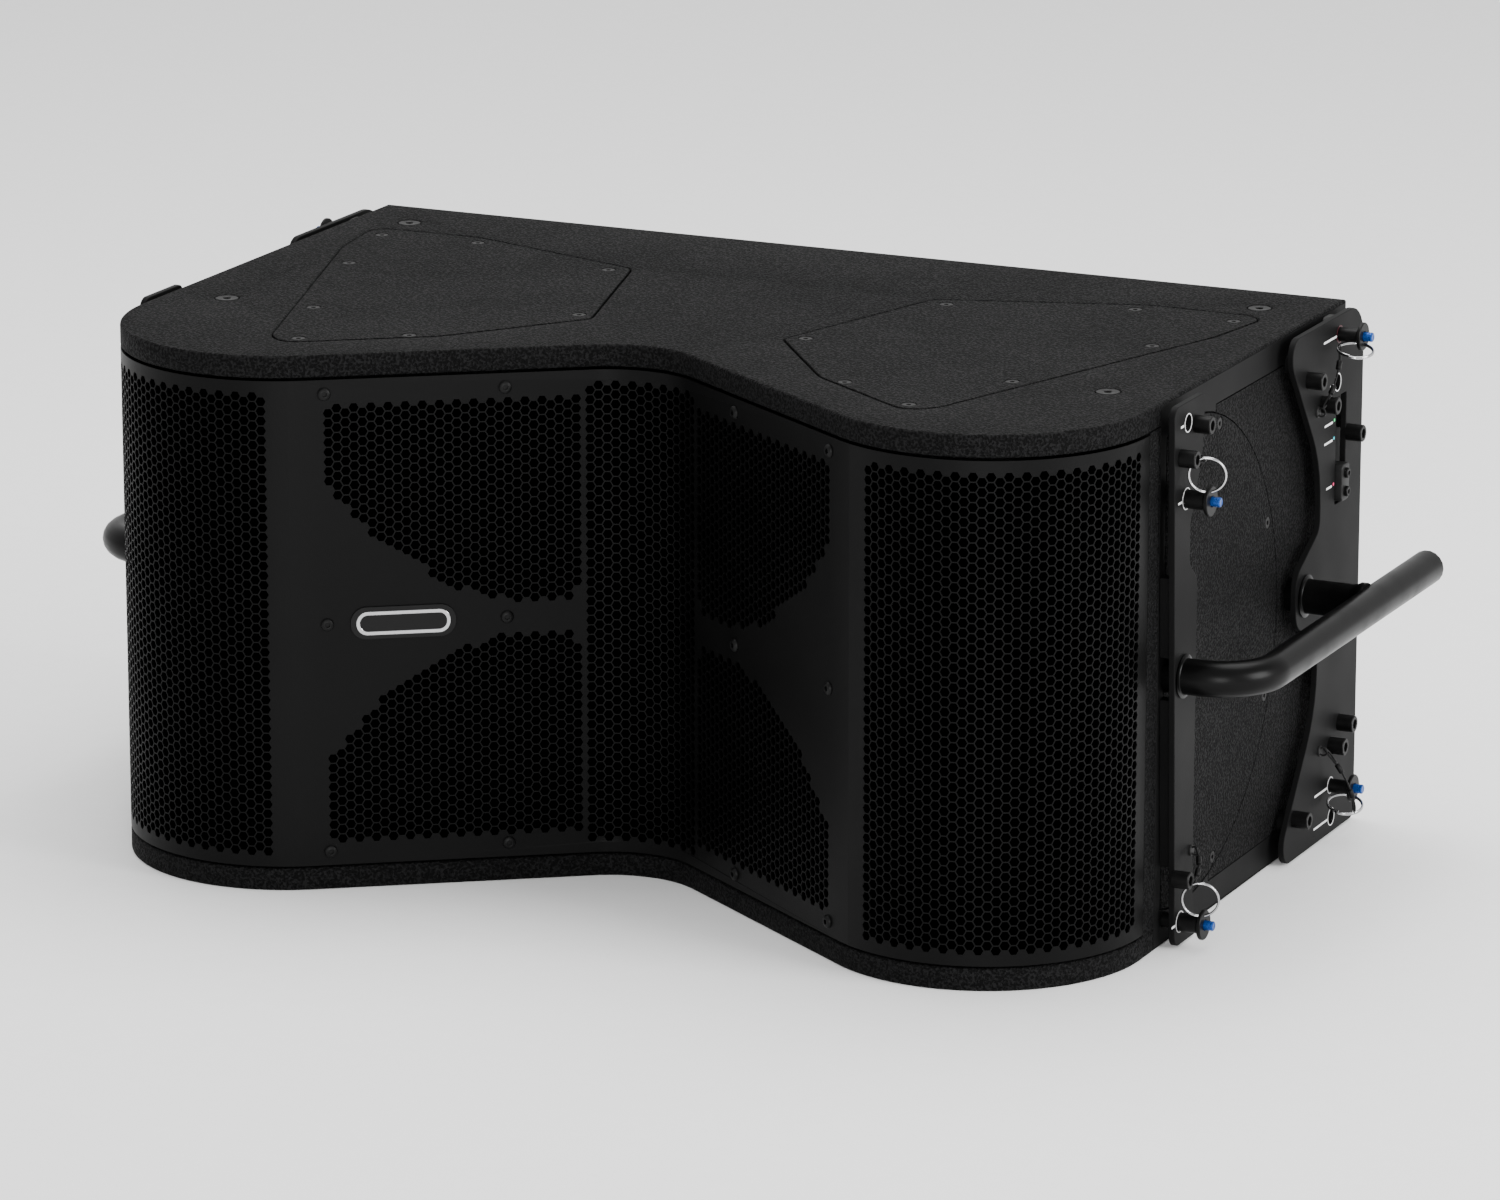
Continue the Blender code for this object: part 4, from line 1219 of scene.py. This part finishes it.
def lanyard(side, word, pin):
    """The wire rope that keeps a pin with its plate: an eyelet, and a crimped loop at each end."""
    middle, away, along, _ = ring_frame(side, pin)
    (y, z), turn, rise = LANYARDS[pin]
    eye = Vector((side * (PLATE_FACE + EYE_RADIUS), y, z))
    hoop = [eye + Vector((side * u, 0, w)) for u, w in arc(0, 0, EYE_RADIUS, 0, 360, 24)]
    foot = rod(side, PLATE_FACE, PLATE_FACE + 0.0012, y, z, EYE_RADIUS + 0.0012, 0.0004)
    hand_over(f"{word}_{pin}_eyelet", together([tube_bm(hoop, EYE_WIRE, 8), foot]), "link_steel")

    start = eye + Vector((side * 0.001, 0, EYE_RADIUS * 0.9))
    hold = middle + (away * math.cos(turn) + along * math.sin(turn)) * RING_RADIUS
    length = (hold - start).length
    beside = (hold - start).cross(Vector((1, 0, 0))).normalized() * WIRE_SPREAD

    def place(t, spread=0.0):
        return start.lerp(hold, t) + Vector((side * rise * 4 * t * (1 - t), 0, 0)) + beside * spread

    crimp = FERRULE_LENGTH / length
    near, far = LOOP_SHARE, 1 - LOOP_SHARE
    parts = [tube_bm([place(near + (far - near) * k / 8) for k in range(9)], WIRE_RADIUS, 8)]
    for sign in (1, -1):
        for end, neck in ((0.0, near), (1.0, far)):
            line = [place(end + (neck - end) * t, sign * spread) for t, spread in LOOP_SHAPE]
            parts.append(tube_bm(smooth_path(line), WIRE_RADIUS, 8))
    for low in (near - 0.02, far + 0.02 - crimp):
        a, b = place(low), place(low + crimp)
        edge, long = FERRULE_EDGE, (b - a).length
        barrel = [(0, 0), (0, FERRULE - edge), (edge, FERRULE)]
        barrel += [(long - edge, FERRULE), (long, FERRULE - edge), (long, 0)]
        parts.append(turned_bm(barrel, b - a, a, 16))
    rope = together(parts)
    rope = hand_over(f"{word}_{pin}_lanyard", rope, "black_fastener", body=None, sharp=50)
    tuple(hold + ORIGIN)
    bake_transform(rope)


def printed_ring(side, y, z, radius, band):
    """A thin ring on a plate's face, between two distances outside a radius."""
    inner, outer = radius + band[0], radius + band[1]
    skin = PLATE_FACE + PRINT_THICK
    profile = [(PLATE_FACE, inner), (PLATE_FACE, outer), (skin, outer), (skin, inner)]
    return turned_bm(profile, (side, 0, 0), (0, y, z), 40)


def marks(side, word):
    """White rings around the pin and spare holes, plain bars beside them, and coloured dots."""
    near, far = PLATE_FACE, PLATE_FACE + PRINT_THICK
    spare = (*FRONT_SPARE, *REAR_SPARE)
    white = [printed_ring(side, y, z, SPARE_HOLE_RADIUS, SPARE_BAND) for y, z in spare]
    for pin in ("front_upper", "front_lower", "rear_lower"):
        y, z, _, body = PINS[pin][:4]
        white.append(printed_ring(side, y, z, body, PIN_BAND))
    for y, z, long in BARS:
        bar = slot_outline(y - long, y, z - BAR_HALF, z + BAR_HALF, BAR_ROUND)
        white.append(plate_bm(bar, *span(side, near, far), axis="x", rim=0))
    hand_over(f"{word}_white_marks", together(white), "white_print")
    for name, (y, z, colour) in DOTS.items():
        hand_over(f"{word}_{name}", rod(side, near, far, y, z, DOT_RADIUS), colour)
    y, z, _, body = PINS["rear_upper"][:4]
    hand_over(f"{word}_red_ring", printed_ring(side, y, z, body, RED_BAND), "red_print")


def packers(side, word):
    """The strips that hold the front plate off the side, seen in its front gap."""
    near, far = span(side, HALF + FIT, PLATE_FACE - PLATE_THICK - FIT)
    outlines = [rounded([(y, z, PACKER_ROUND) for y, z in corners]) for corners in PACKERS]
    strips = [plate_bm(outline, near, far, axis="x", rim=0) for outline in outlines]
    hand_over(f"{word}_plate_packers", together(strips), "dark_steel")


def badge():
    """A plain dark plate on the left flank, with a raised bright frame."""
    for name, long, tall, high, finish in BADGE:
        rim = slot_outline(BADGE_S - long, BADGE_S + long, -tall, tall, tall * 0.96)
        holes = []
        if name == "badge_frame":
            a, b = long - BADGE_STROKE, tall - BADGE_STROKE
            holes = [slot_outline(BADGE_S - a, BADGE_S + a, -b, b, b * 0.96)]
        shape = plate_bm(rim, -high, 0.0002, holes, rim=0.0004)
        for v in shape.verts:
            v.co = on_front(*v.co)
        bmesh.ops.recalc_face_normals(shape, faces=shape.faces)
        hand_over(name, shape, finish)


# Back


def stood_up(bm):
    """Turns a plate from (x, z) points, its face at depth 0, to stand on the cabinet's back."""
    upright = Matrix(((1, 0, 0, 0), (0, 0, -1, BACK), (0, 1, 0, 0), (0, 0, 0, 1)))
    bmesh.ops.transform(bm, matrix=upright, verts=bm.verts)
    bmesh.ops.recalc_face_normals(bm, faces=bm.faces)
    return bm


def back():
    """The back panel and the connector plate with its screws and two sockets."""
    edge = HALF - 0.0215
    lift = INNER - FIT
    wide, tall = DISH
    outline = [(-edge, -lift), (edge, -lift), (edge, lift), (-edge, lift)]
    panel = plate_bm(outline, 0, PLY, [slot_outline(-wide, wide, -tall, tall, 0.004)], rim=0.0008)
    hand_over("painted_back", stood_up(panel), "textured_paint", stands_for=["back_panel"])

    rim, thick, out = DISH_RIM, DISH_THICK, DISH_SCREW_OUT
    outline = slot_outline(-wide - rim, wide + rim, -tall - rim, tall + rim, 0.008)
    corners = [(a * (wide + out), b * (tall + out)) for a in (1, -1) for b in (1, -1)]
    corners += [(0.0, tall + out), (0.0, -tall - out)]
    openings = [round_hole(side * SOCKET_X, 0.0, SOCKET_HOLE, 40) for side, _ in SIDES]
    cover = plate_bm(outline, -thick - FIT, -FIT, openings, rim=0.0006)
    hand_over("connector_cover", stood_up(cover), "dark_steel", stands_for=["connector_plate"])
    face = BACK + FIT + thick
    heads = [button_head(0.0035, (x, face, z), (0, 1, 0)) for x, z in corners]
    hand_over("connector_cover_screws", together(heads), "black_fastener")
    for side, word in SIDES:
        x = side * SOCKET_X
        profile = [
            (face - 0.030, 0),
            (face - 0.030, 0.0120),
            (face + FIT, 0.0120),
            (face + FIT, 0.0154),
            (face + 0.0008, 0.0160),
            (face + 0.0016, 0.0160),
            (face + 0.0022, 0.0152),
            (face + 0.0022, 0.0104),
            (face + 0.0014, 0.0095),
            (face - 0.024, 0.0095),
            (face - 0.024, 0.0072),
            (face - 0.006, 0.0068),
            (face - 0.006, 0),
        ]
        socket = [turned_bm(profile, (0, 1, 0), (x, 0, 0), 48)]
        for turn in range(3):
            angle = math.tau * turn / 3
            spot = Vector((x + 0.0083 * math.sin(angle), 0, 0.0083 * math.cos(angle)))
            low = spot + Vector((-0.0012, face - 0.023, -0.0012))
            high = spot + Vector((0.0012, face - 0.002, 0.0012))
            socket.append(box_bm(low, high, rim=0.0002))
        node = f"{word}_input_socket"
        hand_over(f"{word}_socket_body", together(socket), "socket_plastic", stands_for=[node])


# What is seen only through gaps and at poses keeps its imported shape, and gets its finish here.
KEPT = {
    "cast_metal": ("woofer_frame", "upper_mid_driver", "lower_mid_driver"),
    "cone": ("woofer_cone", "upper_mid_cone", "lower_mid_cone"),
    "textured_paint": ("side_wall", "woofer_baffle", "mid_baffle"),
}


def kept_nodes():
    named = {}
    for kind, parts in KEPT.items():
        named.update({f"{word}_{part}": kind for part in parts for _, word in SIDES})
    named["hf_waveguide"] = "horn_plastic"
    named["upper_hf_driver"] = named["lower_hf_driver"] = "cast_metal"
    for node, kind in named.items():
        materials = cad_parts[node].data.materials
        materials.clear()
        materials.append(FINISHES[kind])


cabinet()
grille()
back()
kept_nodes()
for which, word in SIDES:
    side_skins(which, word)
    rigging_plates(which, word)
    handle(which, word)
    links(which, word)
    marks(which, word)
    packers(which, word)
    for position in PINS:
        pin_and_button(which, word, position)
        split_ring(which, word, position)
        lanyard(which, word, position)
badge()


# Studio


def studio():
    """A flat pale floor, soft lamps and a pale surround."""
    where, paint = finish_of("pale_paper", Roughness=0.9)
    tooth = where.noise(0.02, 3.0)
    bm = bmesh.new()
    bmesh.ops.create_grid(bm, x_segments=1, y_segments=1, size=FLOOR_HALF)
    mesh = as_mesh(bm, "floor")
    mesh.materials.append(paint(Base_Color=tooth.blend(grey(0.90), grey(0.93))))
    floor = in_scene("floor", mesh)

    world = bpy.data.worlds.new("surround")
    world.use_nodes = True
    sky = world.node_tree.nodes["Background"].inputs
    sky["Color"].default_value = (1, 1, 1, 1)
    sky["Strength"].default_value = SURROUND
    bpy.context.scene.world = world
    for name, place, wide, tall, power in LAMPS:
        lamp = bpy.data.lights.new(name, "AREA")
        lamp.shape = "RECTANGLE"
        lamp.size = wide
        lamp.size_y = tall
        lamp.energy = power
        holder = in_scene(name, lamp)
        holder.location = place
        aim = Vector((0, 0, TOP)) - Vector(place)
        holder.rotation_euler = aim.to_track_quat("-Z", "Y").to_euler()


def camera():
    lens = bpy.data.cameras.new("view")
    lens.lens = LENS
    lens.sensor_width = 36.0
    lens.clip_end = 100.0
    holder = in_scene("view", lens)
    sa, ca = math.sin(AZIMUTH), math.cos(AZIMUTH)
    se, ce = math.sin(ELEVATION), math.cos(ELEVATION)
    right, up, behind = (ca, sa, 0), (-sa * se, ca * se, ce), (sa * ce, -ca * ce, se)
    turn = Matrix((right, up, behind)).transposed().to_4x4()
    holder.matrix_world = Matrix.Translation(CAMERA_PLACE) @ turn
    bpy.context.scene.camera = holder


studio()
camera()
